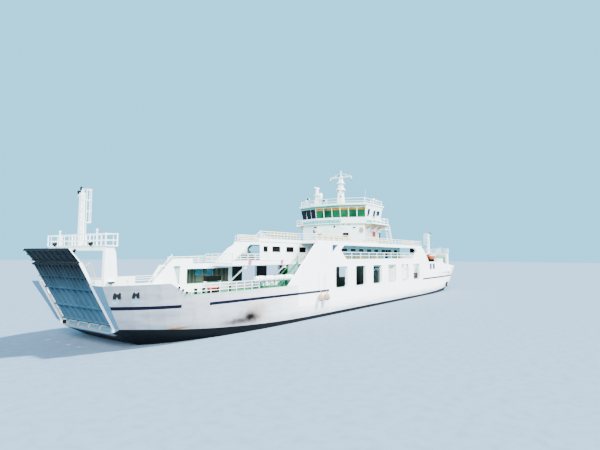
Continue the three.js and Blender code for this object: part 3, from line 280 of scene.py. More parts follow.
def hull_paint():
    """Off-white topsides with painted shade that greys them towards the stern, a near-black bottom and a
    broken navy stripe.
    """
    paint = Paint("hull_paint", rough=0.5, Specular_IOR_Level=0.1)
    x, y, z = paint.axes()
    along, across = paint.absolute(x), paint.absolute(y)
    # Off-white paint, greyed towards the stern by painted shade where the flare faces down
    grey = weathered(paint, "#92969d", "#6c727b", 0.4)
    white = weathered(paint, "#eeeeef", "#cfd3d8", 0.2)
    colour = paint.mix(paint.step(x, -50.0, -8.0), grey, white)
    bottom = BOTTOM_EDGE
    past = paint.math("DIVIDE", paint.minus(along, bottom["level_to"]), bottom["run"])
    rise = paint.math("POWER", paint.math("MAXIMUM", past, 0.0), bottom["power"])
    edge = paint.math("MULTIPLY_ADD", rise, bottom["rise"], bottom["height"])
    below = paint.minus(edge, z)
    # Darker towards the black bottom, in cloudy patches
    cloud = paint.noise(0.8, stretch=(0.3, 1, 1.2), detail=4.0)
    low_darkening = paint.both(paint.step(below, -1.3, -0.05), paint.math("MULTIPLY_ADD", cloud, 0.9, 0.05))
    colour = paint.mix(low_darkening, colour, "#5d636c")
    # Painted shade: darker horizontal streaks low on the stern quarter, where the plating is dented
    shadowy = paint.step(paint.noise(0.45, stretch=(0.22, 1, 1.1), detail=3.0), 0.5, 0.72)
    aft_part = paint.inverse(paint.step(x, -36.0, -20.0))
    dent_shade = paint.both(shadowy, paint.band(z, 1.2, 3.3, 0.6), aft_part, 0.5)
    colour = paint.mix(dent_shade, colour, "#6c737d")
    colour = hull_stains(paint, colour, x, y, z)
    hinge_notch = paint.both(paint.step(along, 47.0, 47.1), paint.math("LESS_THAN", across, 4.35))
    black = paint.both(paint.step(below, -0.02, 0.02), paint.inverse(hinge_notch))
    colour = paint.mix(black, colour, "#08080a")
    colour = with_stripe(paint, colour, x, y, z)
    # The raked end beside the ramp gets painted shade, a dark grey-blue, with a white strip next to the
    # opening
    end_face_shade = paint.both(paint.endward(0.75, 0.8), paint.step(along, 46.5, 46.6))
    strip = paint.band(across, 4.3, 4.85)
    colour = paint.mix(end_face_shade, colour, paint.mix(strip, "#4d7389", "#d3d8dc"))
    car_deck = paint.both(paint.upward(), paint.band(z, 1.2, 2.2))
    colour = paint.mix(car_deck, colour, "#6b706f")
    colour = with_green_deck(paint, colour, 4.0)
    dents = paint.noise(0.55, stretch=(0.35, 1, 1.3), detail=2.0)
    paint.bump(dents, 0.5, 0.25)
    return paint.colour(colour)


def house_paint(name, inner_low=None, inner_high=None, shaded=None, under=None, head=None,
                striped=False):
    """White paint with green decks. Inboard faces, the middle, undersides and the top can take painted
    shade.
    """
    paint = Paint(name, rough=0.45)
    colour = weathered(paint, "#f7f8f9", "#d9dee5", 0.2)
    x, y, z = paint.axes()
    from_turn = paint.from_turn()
    if shaded:
        colour = paint.mix(paint.step(from_turn, 17.4, 17.5), shaded, colour)
    if inner_low:
        # Painted shade on inboard faces away from the ends: below the deck it is dark amidships and
        # lighter further out, where painted shade stripes stand for the ribs; above the deck it takes
        # the inner_high colour
        towards_ends = paint.step(from_turn, 31.0, 31.2)
        inboard = paint.step(paint.both(paint.outboard(), -1.0), 0.5, 0.6)
        rib_shade_stripes = paint.step(paint.noise(2.5, stretch=(1, 1, 0.02), detail=1.0), 0.45, 0.55)
        lit = paint.mix(rib_shade_stripes, "#85877a", "#5c5e55")
        low = paint.mix(paint.step(from_turn, 21.0, 21.5), inner_low, lit)
        inner = paint.mix(paint.step(z, 7.3, 7.4), low, inner_high)
        colour = paint.over(colour, inner, inboard, paint.inverse(towards_ends))
    if striped:
        colour = with_stripe(paint, colour, x, y, z)
    if head:
        # Painted shade band above the panes, on faces that look fore or aft
        above_panes = paint.step(z, WINDOW_HEAD, WINDOW_HEAD + 0.05)
        colour = paint.over(colour, head, above_panes, paint.endward(0.3, 0.35))
    if under:
        # Painted shade on faces that look down
        down = paint.step(paint.both(paint.facing()[2], -1.0), 0.9, 0.95)
        colour = paint.mix(down, colour, under)
    return paint.colour(with_green_deck(paint, colour))


def plain(name, code, rough=0.5, metal=0.0, dirt=None, streaks=0.3, **sockets):
    paint = Paint(name, rough, metal, **sockets)
    if dirt:
        return paint.colour(weathered(paint, code, dirt, streaks))
    shade = paint.step(paint.noise(1.2, detail=4.0), 0.35, 0.75)
    darker = tuple(0.86 * v for v in linear(code)[:3]) + (1.0,)
    return paint.colour(paint.mix(shade, linear(code), darker))


def ramp_paint():
    """Worn grey-blue underside, darker towards the ramp's tip, with specks of rust."""
    paint = Paint("ramp_paint", rough=0.65, Specular_IOR_Level=0.15)
    z = paint.axes()[2]
    worn = weathered(paint, "#2f4f61", "#141f29", 0.65)
    # Darker towards the tip, in blotches
    tip_darkening = paint.math("MULTIPLY_ADD", paint.noise(0.7, stretch=(1, 1, 0.25), detail=5.0), 1.8, z)
    colour = paint.mix(paint.both(paint.step(tip_darkening, 4.4, 8.9), 0.93), worn, "#050404")
    rust = paint.step(paint.noise(0.9, detail=6.0), 0.64, 0.74)
    return paint.colour(paint.over(colour, "#4d3a2b", rust, 0.4))


def bridge_glass_paint():
    """Green panes with an amber visor strip along the top; painted reflection darkens the side panes and
    the port facets.
    """
    paint = Paint("bridge_glass", rough=0.15, Specular_IOR_Level=0.1)
    y, z = paint.axes()[1:]
    cloudy = paint.step(paint.noise(0.6, detail=4.0), 0.35, 0.7)
    green = paint.mix(cloudy, "#055a36", "#06301f")
    visor = paint.mix(cloudy, "#c06c04", "#3c4a2c")
    colour = paint.mix(paint.step(z, 16.42, 16.47), green, visor)
    # Painted reflection: panes that face the side are dark blue and the port facets near black
    side = paint.step(paint.absolute(paint.facing()[1]), 0.9, 0.95)
    colour = paint.mix(side, colour, "#0c1530")
    return paint.colour(paint.mix(paint.step(y, 2.5, 2.6), colour, "#090b16"))


HULL = hull_paint()
WHITE = house_paint("house_paint")
# The inner_low, inner_high, shaded and under colours below are painted shade
WALL = house_paint("side_wall_paint", inner_low="#2f2b28", inner_high="#c9d4d4", under="#6d7b79",
                   striped=True)
CASING = house_paint("casing_paint", under="#8fa0ac")
SALOON = house_paint("saloon_paint", shaded="#8fc6d0")
UNDER_DECK = house_paint("deck_paint", under="#2f3231")
GALLERY_ROOF = house_paint("sun_deck_paint", under="#6c9a9a")
# The head colour is painted shade over the window heads
WHEELHOUSE = house_paint("wheelhouse_paint", head="#5fae93")
RAIL = plain("rail_white", "#f4f5f7", 0.4)
TRIM = plain("trim_white", "#f0f1f3", 0.45, dirt="#c6ccd3")
DARK_PANEL = plain("dark_panel", "#15110f", 0.6, dirt="#241f1e", Specular_IOR_Level=0.1)
DARK = plain("dark_steel", "#08080a", 0.6, dirt="#150f0d", Specular_IOR_Level=0.15)
GREEN = plain("deck_green", "#0c7a44", 0.6, dirt="#2f7c5a")
RACK_GREEN = plain("rack_green", "#0d6350", 0.6, dirt="#17463d")
RAMP_STEEL = ramp_paint()
RAMP_DECK = plain("ramp_deck_green", "#7fae8e", 0.75, dirt="#6b8076", streaks=0.6)
YELLOW = plain("bench_yellow", "#d3ab22", 0.5, dirt="#b58c1c")
TAN = plain("fender_tan", "#a98f74", 0.75, dirt="#7b6349")
ORANGE = plain("rescue_orange", "#e8501a", 0.4, dirt="#b04420")
RED = plain("fire_red", "#b81c20", 0.4)
BLUE = plain("lamp_blue", "#2f7fc0", 0.4)
BRONZE = plain("bronze", "#9c7a3c", 0.3, 0.9)
ROPE = plain("rope", "#b9ab8e", 0.9)
# Near-black saloon panes: painted shade of the unlit saloon behind them
DARK_GLASS = plain("dark_glass", "#050404", 0.3, Specular_IOR_Level=0.08)
SLATE_GLASS = plain("slate_glass", "#1d3050", 0.25, Specular_IOR_Level=0.3)
SEA_GLASS = plain("sea_blue_glass", "#5fb0dc", 0.3)
PALE_GLASS = plain("pale_glass", "#9fb2bb", 0.3)
BRIDGE_GLASS = bridge_glass_paint()
# Green-tinted painted shade under the wheelhouse roof's overhang
SOFFIT = plain("soffit_shade", "#5fae93", 0.6)
# Aqua painted shade on the band round the wheelhouse's foot
AQUA_SHADE = plain("aqua_shade_band", "#2aa9a6", 0.5)
AMBER = plain("amber_ceiling", "#b06a10", 0.6)
CREAM = plain("cream_paint", "#cfc68f", 0.5)


# Shapes

class Solid:
    """Collects closed shapes, in metres of the real ferry, and becomes one piece."""

    def __init__(self, placing=AS_DRAWN):
        self.points = []
        self.faces = []
        self.placing = placing

    def add(self, points, faces):
        base = len(self.points)
        self.points += [self.placing @ Vector(p) for p in points]
        self.faces += [tuple(base + i for i in face) for face in faces]
        return self

    def rings(self, rings, capped=True):
        """A skin through rings of points that turn anticlockwise seen from the far end."""
        count = len(rings[0])
        faces = []
        for ring in range(len(rings) - 1):
            low, high = ring * count, (ring + 1) * count
            for i in range(count):
                after = (i + 1) % count
                faces.append((low + i, low + after, high + after, high + i))
        if capped:
            faces.append(tuple(reversed(range(count))))
            faces.append(tuple((len(rings) - 1) * count + i for i in range(count)))
        return self.add([p for ring in rings for p in ring], faces)

    def box(self, xs, ys, zs):
        ring = [(xs[0], ys[0]), (xs[1], ys[0]), (xs[1], ys[1]), (xs[0], ys[1])]
        return self.rings([[(x, y, z) for x, y in ring] for z in zs])

    def bar(self, start, end, radius, end_radius=None, sides=6):
        start, end = Vector(start), Vector(end)
        turn = (end - start).to_track_quat("Z", "Y")
        rings = []
        angles = [2 * math.pi * (i + 0.5) / sides for i in range(sides)]
        for centre, r in ((start, radius), (end, radius if end_radius is None else end_radius)):
            corners = [Vector((r * math.cos(a), r * math.sin(a), 0)) for a in angles]
            rings.append([centre + turn @ corner for corner in corners])
        return self.rings(rings)

    def post(self, x, y, low, high, *radii, **settings):
        return self.bar((x, y, low), (x, y, high), *radii, **settings)

    def side_plate(self, outline, ys):
        """An outline of (x, z) points, as thick as from ys[0] to ys[1]."""
        if signed_area(outline) > 0:
            outline = list(reversed(outline))
        return self.rings([[(x, y, z) for x, z in outline] for y in ys])

    def cross_plate(self, outline, xs):
        """An outline of (y, z) points, as thick as from xs[0] to xs[1]."""
        if signed_area(outline) < 0:
            outline = list(reversed(outline))
        return self.rings([[(x, y, z) for y, z in outline] for x in xs])

    def spun(self, profile, centre, axis="Z", sides=20):
        """A profile of (radius, distance along axis) turned about the axis."""
        rings = []
        for radius, along in profile:
            ring = []
            for i in range(sides):
                a = 2 * math.pi * i / sides
                u, v = max(radius, 0.001) * math.cos(a), max(radius, 0.001) * math.sin(a)
                ring.append({"Z": (u, v, along), "X": (along, u, v), "Y": (v, along, u)}[axis])
            rings.append([Vector(centre) + Vector(p) for p in ring])
        return self.rings(rings)

    def ball(self, centre, radius, sides=12):
        turns = [math.pi * (i / 8 - 0.5) for i in range(9)]
        profile = [(radius * math.cos(t), radius * math.sin(t)) for t in turns]
        return self.spun(profile, centre, sides=sides)

    def ring(self, centre, axis, radius, tube, around=20, sides=8):
        """A round ring lying across the axis."""
        points, faces = [], []
        for i in range(around):
            a = 2 * math.pi * i / around
            for j in range(sides):
                b = 2 * math.pi * j / sides
                u = (radius + tube * math.cos(b)) * math.cos(a)
                v = (radius + tube * math.cos(b)) * math.sin(a)
                w = tube * math.sin(b)
                offset = {"Y": (u, w, v), "X": (w, u, v), "Z": (u, v, w)}[axis]
                points.append(Vector(centre) + Vector(offset))
                nxt, side = (i + 1) % around, (j + 1) % sides
                faces.append((i * sides + j, i * sides + side, nxt * sides + side, nxt * sides + j))
        return self.add(points, faces)

    def railing(self, path, height=1.0, rails=3, pitch=1.5, tube=0.028):
        points = [Vector(p) for p in path]
        for i in range(len(points) - 1):
            start, end = points[i], points[i + 1]
            for rail in range(1, rails + 1):
                lift = Vector((0, 0, height * rail / rails - tube))
                self.bar(start + lift, end + lift, tube if rail < rails else tube * 1.3)
            posts = max(1, round((end - start).length / pitch))
            for post in range(0 if i == 0 else 1, posts + 1):
                foot = start.lerp(end, post / posts)
                self.bar(foot, foot + Vector((0, 0, height)), tube * 1.1)
        return self

    def piece(self, name, paint, slot="house_white", body="ferry", replaces=(), smooth=None):
        mesh = bpy.data.meshes.new(name)
        mesh.from_pydata([p * MODEL for p in self.points], [], self.faces)
        mesh.validate()
        mesh.materials.append(paint)
        if smooth is not None:
            mesh.polygons.foreach_set("use_smooth", [True] * len(mesh.polygons))
            mesh.set_sharp_from_angle(angle=math.radians(smooth))
        mesh.update()
        obj = bpy.data.objects.new(name, mesh)
        bpy.context.scene.collection.objects.link(obj)
        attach(obj, body)
        if replaces:
            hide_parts(*replaces)
        return obj


def signed_area(outline):
    """Positive where the outline turns anticlockwise."""
    pairs = zip(outline, outline[1:] + outline[:1])
    return sum(a[0] * b[1] - b[0] * a[1] for a, b in pairs) / 2


def span(a, b):
    return (min(a, b), max(a, b))


# CAD nodes that stay, with their finish

NODE_PAINTS = (
    ("hull", HULL), ("bulwark", HULL), ("side_wall", WALL), ("engine_hatch", GREEN), ("engine_", DARK),
    ("casing", CASING), ("passenger_deck", UNDER_DECK), ("deck_edge", WHITE), ("saloon", SALOON),
    ("sun_deck_rail", RAIL), ("sun_deck", GALLERY_ROOF), ("aft_wing", WHITE), ("bridge_tower", WHITE),
    ("wheelhouse_roof", WHITE), ("wheelhouse", WHEELHOUSE), ("bridge_wing", WHITE), ("main_mast", TRIM),
    ("radar", TRIM), ("gantry", TRIM), ("stairs", GREEN), ("liferafts", TRIM), ("rescue_boat", ORANGE),
    ("boat_cradle", DARK), ("davit", TRIM), ("side_deck_rail", RAIL), ("bench", YELLOW), ("fender", TAN),
    ("anchor", DARK), ("thruster", DARK), ("propeller", BRONZE), ("ramp", RAMP_STEEL),
    ("flap", RAMP_STEEL),
)
ROUNDED_NODES = ("hull", "bulwark", "thruster", "fender")


def paint_node(name):
    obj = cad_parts[name]
    paint = next(paint for start, paint in NODE_PAINTS if name.startswith(start))
    if not obj.material_slots:
        obj.data.materials.append(paint)
    for material_slot in obj.material_slots:
        material_slot.material = paint
    if name.startswith(ROUNDED_NODES):
        obj.data.polygons.foreach_set("use_smooth", [True] * len(obj.data.polygons))
        obj.data.set_sharp_from_angle(angle=math.radians(25))


for node_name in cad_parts:
    paint_node(node_name)


# Camera at the photograph's viewing angle, light and floor

def add_camera():
    place = Vector((-69.9543, -40.8114, 8.5455))
    forward = Vector((0.8125953, 0.57878447, 0.06853767)).normalized()
    up = Vector((-0.05860852, -0.03585222, 0.99763704)).normalized()
    right = forward.cross(up).normalized()
    up = right.cross(forward)
    data = bpy.data.cameras.new("camera")
    data.sensor_width = 36.0
    data.lens = 26.156
    data.clip_end = 500.0
    camera = bpy.data.objects.new("camera", data)
    axes = Matrix((right, up, -forward)).transposed().to_4x4()
    camera.matrix_world = Matrix.Translation(place * MODEL) @ axes
    bpy.context.scene.collection.objects.link(camera)
    bpy.context.scene.camera = camera


# Lights. Columns: name, direction towards the light, strength, apparent size in degrees, colour
LIGHTS = (
    ("sun", (1.1, -1.25, 2.2), 22.0, 5.0, (1.0, 0.95, 0.9)),
    ("fill", (-1.6, -1.2, 1.2), 12.0, 40.0, (1.0, 0.97, 0.95)),
)
# Half the floor's side, in the model's metres
FLOOR_HALF = 60.0


def add_stage():
    world = bpy.data.worlds.new("studio")
    bpy.context.scene.world = world
    world.use_nodes = True
    background = world.node_tree.nodes["Background"]
    background.inputs["Color"].default_value = (0.22, 0.7, 1.0, 1.0)
    background.inputs["Strength"].default_value = 2.0
    mesh = bpy.data.meshes.new("floor")
    corners = [(-1, -1), (1, -1), (1, 1), (-1, 1)]
    mesh.from_pydata([(x * FLOOR_HALF, y * FLOOR_HALF, 0) for x, y in corners], [], [(0, 1, 2, 3)])
    floor = bpy.data.objects.new("floor", mesh)
    mesh.materials.append(plain("pale_floor", "#63788a", 0.9, Specular_IOR_Level=0.0))
    bpy.context.scene.collection.objects.link(floor)
    for name, towards, strength, angle, tint in LIGHTS:
        light = bpy.data.lights.new(name, "SUN")
        light.energy = strength
        light.angle = math.radians(angle)
        light.color = tint
        lamp = bpy.data.objects.new(name, light)
        lamp.matrix_world = Vector(towards).to_track_quat("Z", "Y").to_matrix().to_4x4()
        bpy.context.scene.collection.objects.link(lamp)


add_camera()
add_stage()


# Edge of the wide deck aft, and the railings of the open decks

WIDE_END = -36.15
STAIR_SLOT = -26.3
CASING_ROOF_END = -41.3
TERRACE_END = -31.1
DECK_STRUTS = (-34.0, -26.8)
EDGE_RINGS = (-33.39, -27.54)
# Y of the railing between the terrace or walkway and the car deck's opening
INNER_RAIL = -3.66


def add_deck_edge(hand, placing):
    edge = Solid(placing)
    edge.box((WIDE_END, STAIR_SLOT), (-HALF_BEAM, 0.1 - HALF_BEAM), (7.37, 7.9))
    edge.box((WIDE_END, STAIR_SLOT), (-HALF_BEAM, 0.16 - HALF_BEAM), (7.87, 7.93))
    for x in DECK_STRUTS:
        edge.bar((x, -5.1, 5.2), (x, -7.65, 7.12), 0.08, sides=10)
        edge.box((x - 0.1, x + 0.1), (-HALF_BEAM, -7.55), (7.0, 7.28))
        edge.box((x - 0.1, x + 0.1), (-HALF_BEAM, 0.1 - HALF_BEAM), (7.2, 7.4))
    rail_y = 0.05 - HALF_BEAM
    aft = WIDE_END + 0.1
    edge.railing([(aft, rail_y, 7.88), (STAIR_SLOT - 0.1, rail_y, 7.88)], 0.77, 3, 1.2)
    edge.railing([(aft, rail_y, 7.7), (aft, INNER_RAIL, PASSENGER_DECK)], 1.0, 4, 1.05)
    walkway = [(CASING_ROOF_END + 0.1, INNER_RAIL, WALKWAY), (aft, INNER_RAIL, WALKWAY + 0.13)]
    edge.railing(walkway, 0.8, 4, 1.03)
    terrace = [(x, INNER_RAIL, PASSENGER_DECK) for x in (aft, TERRACE_END)]
    edge.railing(terrace, 0.67, 4, 1.03)
    ends = [(TERRACE_END, INNER_RAIL), (TERRACE_END, -1.6), (-23.3, 4.45)]
    edge.railing([(x, y, PASSENGER_DECK) for x, y in ends], 1.0, 4, 1.2)
    edge.piece(f"terrace_edge_{hand}", RAIL, replaces=[f"deck_edge_{hand}"])
    rings = Solid(placing)
    for x in EDGE_RINGS:
        rings.ring((x, -HALF_BEAM - 0.04, 7.7), "Y", 0.19, 0.06)
    rings.piece(f"fascia_life_rings_{hand}", RED, "boat_orange", smooth=50)


def add_railings(hand, placing):
    low = Solid(placing)
    low.railing([(-41.5, RAIL_Y, SIDE_DECK), (-31.6, RAIL_Y, SIDE_DECK)], 1.0, 3, 1.25)
    low.piece(f"side_rail_{hand}", RAIL, replaces=[f"side_deck_rail_{hand}"])
    sun = Solid(placing)
    sun.railing([(-32.05, -4.72, AFT_SUN_DECK), (-28.8, -4.72, AFT_SUN_DECK)], 0.9, 4, 1.05)
    sun.bar((-28.8, -4.72, AFT_SUN_DECK + 0.85), (-28.2, -4.93, SUN_DECK + 0.9), 0.034)
    sun.railing([(-19.7, 1.3, SUN_DECK), (-28.2, -4.88, SUN_DECK)], 0.95, 3, 1.5)
    outer = [(-28.2, -4.93), (-19.7, -4.93), (-19.7, RAIL_Y), (21.08, RAIL_Y), (21.08, -1.7)]
    sun.railing([(x, y, SUN_DECK) for x, y in outer], 0.95, 3, 1.5)
    sun.piece(f"sun_rail_{hand}", RAIL, replaces=[f"sun_deck_rail_{hand}"])


for each_hand in HANDS:
    add_deck_edge(*each_hand)
    add_railings(*each_hand)


# Side walls, casings and saloon: glass, surrounds, doors and handrails

TALL_WINDOWS = {"places": ((26.0, 27.35), (27.95, 29.4)), "sill": 5.55, "head": 6.78}
SALOON_WINDOWS = {"count": 14, "first": -25.02, "pitch": 3.0, "width": 1.75, "sill": 8.9, "head": 9.65}
CORNER_WINDOW = [(-15.6, 8.8), (-13.9, 10.05), (-15.6, 10.05)]
CASING_WEDGE = [(-40.86, 5.57), (-40.62, 5.57), (-40.57, 7.34), (-41.42, 7.34)]
SALOON_DOORS = (-12.0, 9.0)
CAR_WINDOWS = {"count": 6, "first": -12.9, "pitch": 6.16, "width": 3.5, "sill": 3.78, "head": 6.88}


def frame_round(solid, xs, zs, ys, width):
    """A window surround of four flat strips."""
    solid.box((xs[0] - width, xs[1] + width), ys, (zs[0] - width, zs[0]))
    solid.box((xs[0] - width, xs[1] + width), ys, (zs[1], zs[1] + width))
    solid.box((xs[0] - width, xs[0]), ys, zs)
    solid.box((xs[1], xs[1] + width), ys, zs)


def add_wall_details(hand, placing):
    trim, slate, inside, dark, panels, wedge = (Solid(placing) for _ in range(6))
    heights = (TALL_WINDOWS["sill"], TALL_WINDOWS["head"])
    for places in TALL_WINDOWS["places"]:
        frame_round(trim, places, heights, (-HALF_BEAM - 0.03, -HALF_BEAM + 0.02), 0.07)
        slate.box(places, (-HALF_BEAM + 0.01, -HALF_BEAM + 0.05), heights)
        inside.box(places, (-HALF_BEAM + 0.34, -HALF_BEAM + 0.38), heights)
    slate.side_plate(CORNER_WINDOW, (-HALF_BEAM + 0.1, -HALF_BEAM + 0.14))
    wedge.side_plate(CASING_WEDGE, (-4.76, -4.72))
    # Narrow surrounds of the car deck windows
    for i in range(CAR_WINDOWS["count"]):
        middle = CAR_WINDOWS["first"] + i * CAR_WINDOWS["pitch"]
        half = CAR_WINDOWS["width"] / 2
        places = (middle - half, middle + half)
        heights = (CAR_WINDOWS["sill"], CAR_WINDOWS["head"])
        frame_round(trim, places, heights, (-HALF_BEAM - 0.025, -HALF_BEAM + 0.01), 0.05)
    windows = SALOON_WINDOWS
    heights = (windows["sill"], windows["head"])
    centres = [windows["first"] + i * windows["pitch"] for i in range(windows["count"])]
    half = windows["width"] / 2
    for low, high in [(-27.65, -26.75)] + [(x - half, x + half) for x in centres]:
        # Near-black panes, painted shade of the unlit saloon
        dark.box((low, high), (-4.95, -4.9), heights)
        frame_round(trim, (low, high), heights, (-5.03, -4.99), 0.08)
    # Dark panel at the gallery's end as painted shade, doors in the saloon's side and a rack in the
    # casing's opening
    panels.box((20.86, 20.9), (-7.45, -5.35), (8.85, 10.15))
    for x in SALOON_DOORS:
        panels.box((x, x + 0.95), (-5.06, -5.0), (PASSENGER_DECK, 9.6))
    panels.box((-36.9, -34.6), (-4.7, -4.3), (5.6, 6.18))
    trim.box((-36.9, -36.8), (-4.7, -4.3), (SIDE_DECK, 5.6))
    trim.box((-34.7, -34.6), (-4.7, -4.3), (SIDE_DECK, 5.6))
    # Handrail along the casing's slanted end
    trim.bar((-45.2, -5.0, 5.1), (-41.7, -5.0, 8.5), 0.035)
    for share in (0.0, 0.33, 0.66, 1.0):
        x, z = -45.0 + 3.4 * share, 4.75 + 3.3 * share
        trim.bar((x, -4.93, z), (x - 0.2, -5.0, z + 0.5), 0.03)
    trim.piece(f"window_frames_{hand}", TRIM)
    slate.piece(f"tall_window_glass_{hand}", SLATE_GLASS)
    inside.piece(f"tall_window_inside_{hand}", SEA_GLASS)
    dark.piece(f"saloon_glass_{hand}", DARK_GLASS)
    panels.piece(f"dark_panels_{hand}", DARK_PANEL, "dark_steel")
    wedge.piece(f"wedge_glass_{hand}", PALE_GLASS)


for each_hand in HANDS:
    add_wall_details(*each_hand)


# Bridge: glass, floor, ceiling and what stands on the roof

BRIDGE_X = 0.55
BRIDGE = {"end": 4.55, "end_half": 2.55, "shoulder": 3.05, "half": 6.5}


def bridge_ring(z, grow, grow_side=None):
    """The eight-sided plan, anticlockwise from the forward port corner, as in the solids."""
    grow_side = grow if grow_side is None else grow_side
    end, shoulder = BRIDGE["end"] + grow, BRIDGE["shoulder"] + 0.8 * grow
    half, end_half = BRIDGE["half"] + grow_side, BRIDGE["end_half"]
    corners = [(end, end_half), (shoulder, half), (-shoulder, half), (-end, end_half)]
    port = [Vector((BRIDGE_X + x, y, z)) for x, y in corners]
    return port + [Vector((p.x, -p.y, z)) for p in reversed(port)]


def add_storey(name, paint, low, high):
    """An eight-sided block between two rings, each told as bridge_ring takes it."""
    rings = [bridge_ring(*low), bridge_ring(*high)]
    Solid().rings(rings).piece(f"bridge_{name}", paint)


# Panes in a facet, the share of a pane that is left free at each edge, and how far the walls lean
# out from the sill to the head
PANES = 3
PANE_MARGIN = 0.08
LEAN = 0.35
# Columns: x from and to, z from and to
SIDE_PANES = (
    (-1.75, -1.15, 15.7, 16.6), (0.5, 1.0, 15.7, 16.5), (1.7, 2.2, 15.7, 16.5), (2.3, 2.75, 15.7, 16.5),
)
# Consoles, the last with the core behind it. Columns: x from and to, half breadth, top
CONSOLES = ((2.6, 3.6, 4.0, 15.35), (-2.4, -1.4, 4.0, 15.35), (0.0, 1.2, 1.2, 16.7))


def add_bridge_glass():
    """A sheet of glass in each facet, behind the window openings."""
    low, high = bridge_ring(WINDOW_SILL - 0.03, -0.08), bridge_ring(WINDOW_HEAD + 0.03, LEAN - 0.14)
    glass = Solid()
    for i in range(8):
        a, b, c, d = low[i], low[(i + 1) % 8], high[i], high[(i + 1) % 8]
        inward = (Vector((BRIDGE_X, 0, a.z)) - (a + b) / 2).normalized() * 0.03
        glass.rings([[a, b, b + inward, a + inward], [c, d, d + inward, c + inward]])
    glass.piece("bridge_glass", BRIDGE_GLASS)


def add_bridge_panes():
    """Panes on the outside that reach past the openings, so that the posts between them look thin."""
    low, high = bridge_ring(WINDOW_SILL + 0.02, 0.03), bridge_ring(WINDOW_HEAD - 0.02, LEAN + 0.01)
    panes = Solid()
    for i in (0, 2, 3, 4, 6, 7):
        a, b, c, d = low[i], low[(i + 1) % 8], high[(i + 1) % 8], high[i]
        out = (Vector((BRIDGE_X, 0, a.z)) - (a + b) / 2).normalized() * -0.02
        for k in range(PANES):
            near, far = (k + PANE_MARGIN) / PANES, (k + 1 - PANE_MARGIN) / PANES
            pairs = (a.lerp(b, near), a.lerp(b, far)), (d.lerp(c, near), d.lerp(c, far))
            panes.rings([[first + out, second + out, second, first] for first, second in pairs])
    for side in SIDES:
        for x0, x1, z0, z1 in SIDE_PANES:
            rings = []
            for z in (z0, z1):
                share = (z - WINDOW_SILL) / (WINDOW_HEAD - WINDOW_SILL)
                y = side * (BRIDGE["half"] + 0.03 + LEAN * share)
                near, far = span(y, y + side * 0.03)
                rings.append([(x0, near, z), (x1, near, z), (x1, far, z), (x0, far, z)])
            panes.rings(rings)
    panes.piece("bridge_panes", BRIDGE_GLASS)


def add_bridge_rooms():
    """Ceiling, floor, consoles, the roof's underside in painted shade and the doors to the wings."""
    add_storey("ceiling", AMBER, (16.9, 0.0), (16.96, 0.0))
    add_storey("floor", DARK_PANEL, (BRIDGE_DECK + 0.02, -0.3), (BRIDGE_DECK + 0.08, -0.3))
    consoles = Solid()
    for x0, x1, half, top in CONSOLES:
        consoles.box((x0, x1), (-half, half), (14.25, top))
    consoles.piece("bridge_consoles", plain("console_grey", "#3d4a4c", 0.6))
    add_storey("soffit", SOFFIT, (ROOF_UNDER - 0.03, 0.7, 0.3), (ROOF_UNDER - 0.005, 0.72, 0.32))
    doors = Solid()
    for side in SIDES:
        doors.box((0.38, 1.32), span(side * 6.36, side * 6.42), (BRIDGE_DECK + 0.1, 16.38))
        doors.box((0.3, 0.38), span(side * 6.42, side * 6.5), (BRIDGE_DECK + 0.1, 16.38))
    doors.piece("wing_doors", TRIM)


def add_catwalk():
    """Aqua band of painted shade round the wheelhouse's foot, and a catwalk with a railing outside it.
    """
    add_storey("band", AQUA_SHADE, (BRIDGE_DECK + 0.03, 0.03), (WINDOW_SILL - 0.35, 0.03))
    walk = Solid()
    for turned in (AS_DRAWN, half_turn(BRIDGE_X)):
        ring = [turned @ p for p in bridge_ring(BRIDGE_DECK, 0.45)]
        wall = [turned @ p for p in bridge_ring(BRIDGE_DECK, 0.04)]
        path = ring[2:6]
        walk.railing(path, 0.85, 2, 0.9, 0.02)
        for i in range(2, 5):
            quad = [ring[i], ring[i + 1], wall[i + 1], wall[i]]
            under, over = Vector((0, 0, -0.12)), Vector((0, 0, 0.01))
            walk.rings([[p + under for p in quad], [p + over for p in quad]])
    walk.piece("bridge_catwalk", RAIL)
    # Solid parapet along the starboard quarter of the aft catwalk, and its turned twin forward
    parapet = Solid()
    for turned in (AS_DRAWN, half_turn(BRIDGE_X)):
        ring = [turned @ p for p in bridge_ring(BRIDGE_DECK, 0.47)]
        inner = [turned @ p for p in bridge_ring(BRIDGE_DECK, 0.4)]
        quad = [ring[4].lerp(ring[5], 0.05), ring[5], inner[5], inner[4].lerp(inner[5], 0.05)]
        parapet.rings([[p + Vector((0, 0, lift)) for p in quad] for lift in (-0.12, 0.75)])
    parapet.piece("bridge_parapet", WHITE)


# Columns: x, y, height
SEARCHLIGHTS = ((-3.2, 4.9, 1.1), (-3.2, 1.35, 0.55), (4.3, -4.9, 1.1), (4.3, -1.35, 0.55))
BALL_AERIALS = ((3.9, -5.6), (4.4, -4.2), (-2.8, 5.6))
# Small dome beside the radar mast. Columns: radius, height
DOME = [(0.1, 0.0), (0.34, 0.08), (0.38, 0.5), (0.34, 1.0), (0.2, 1.2), (0.0, 1.26)]
DOME_X, DOME_Y, DOME_FOOT = -1.5, 3.2, 18.9


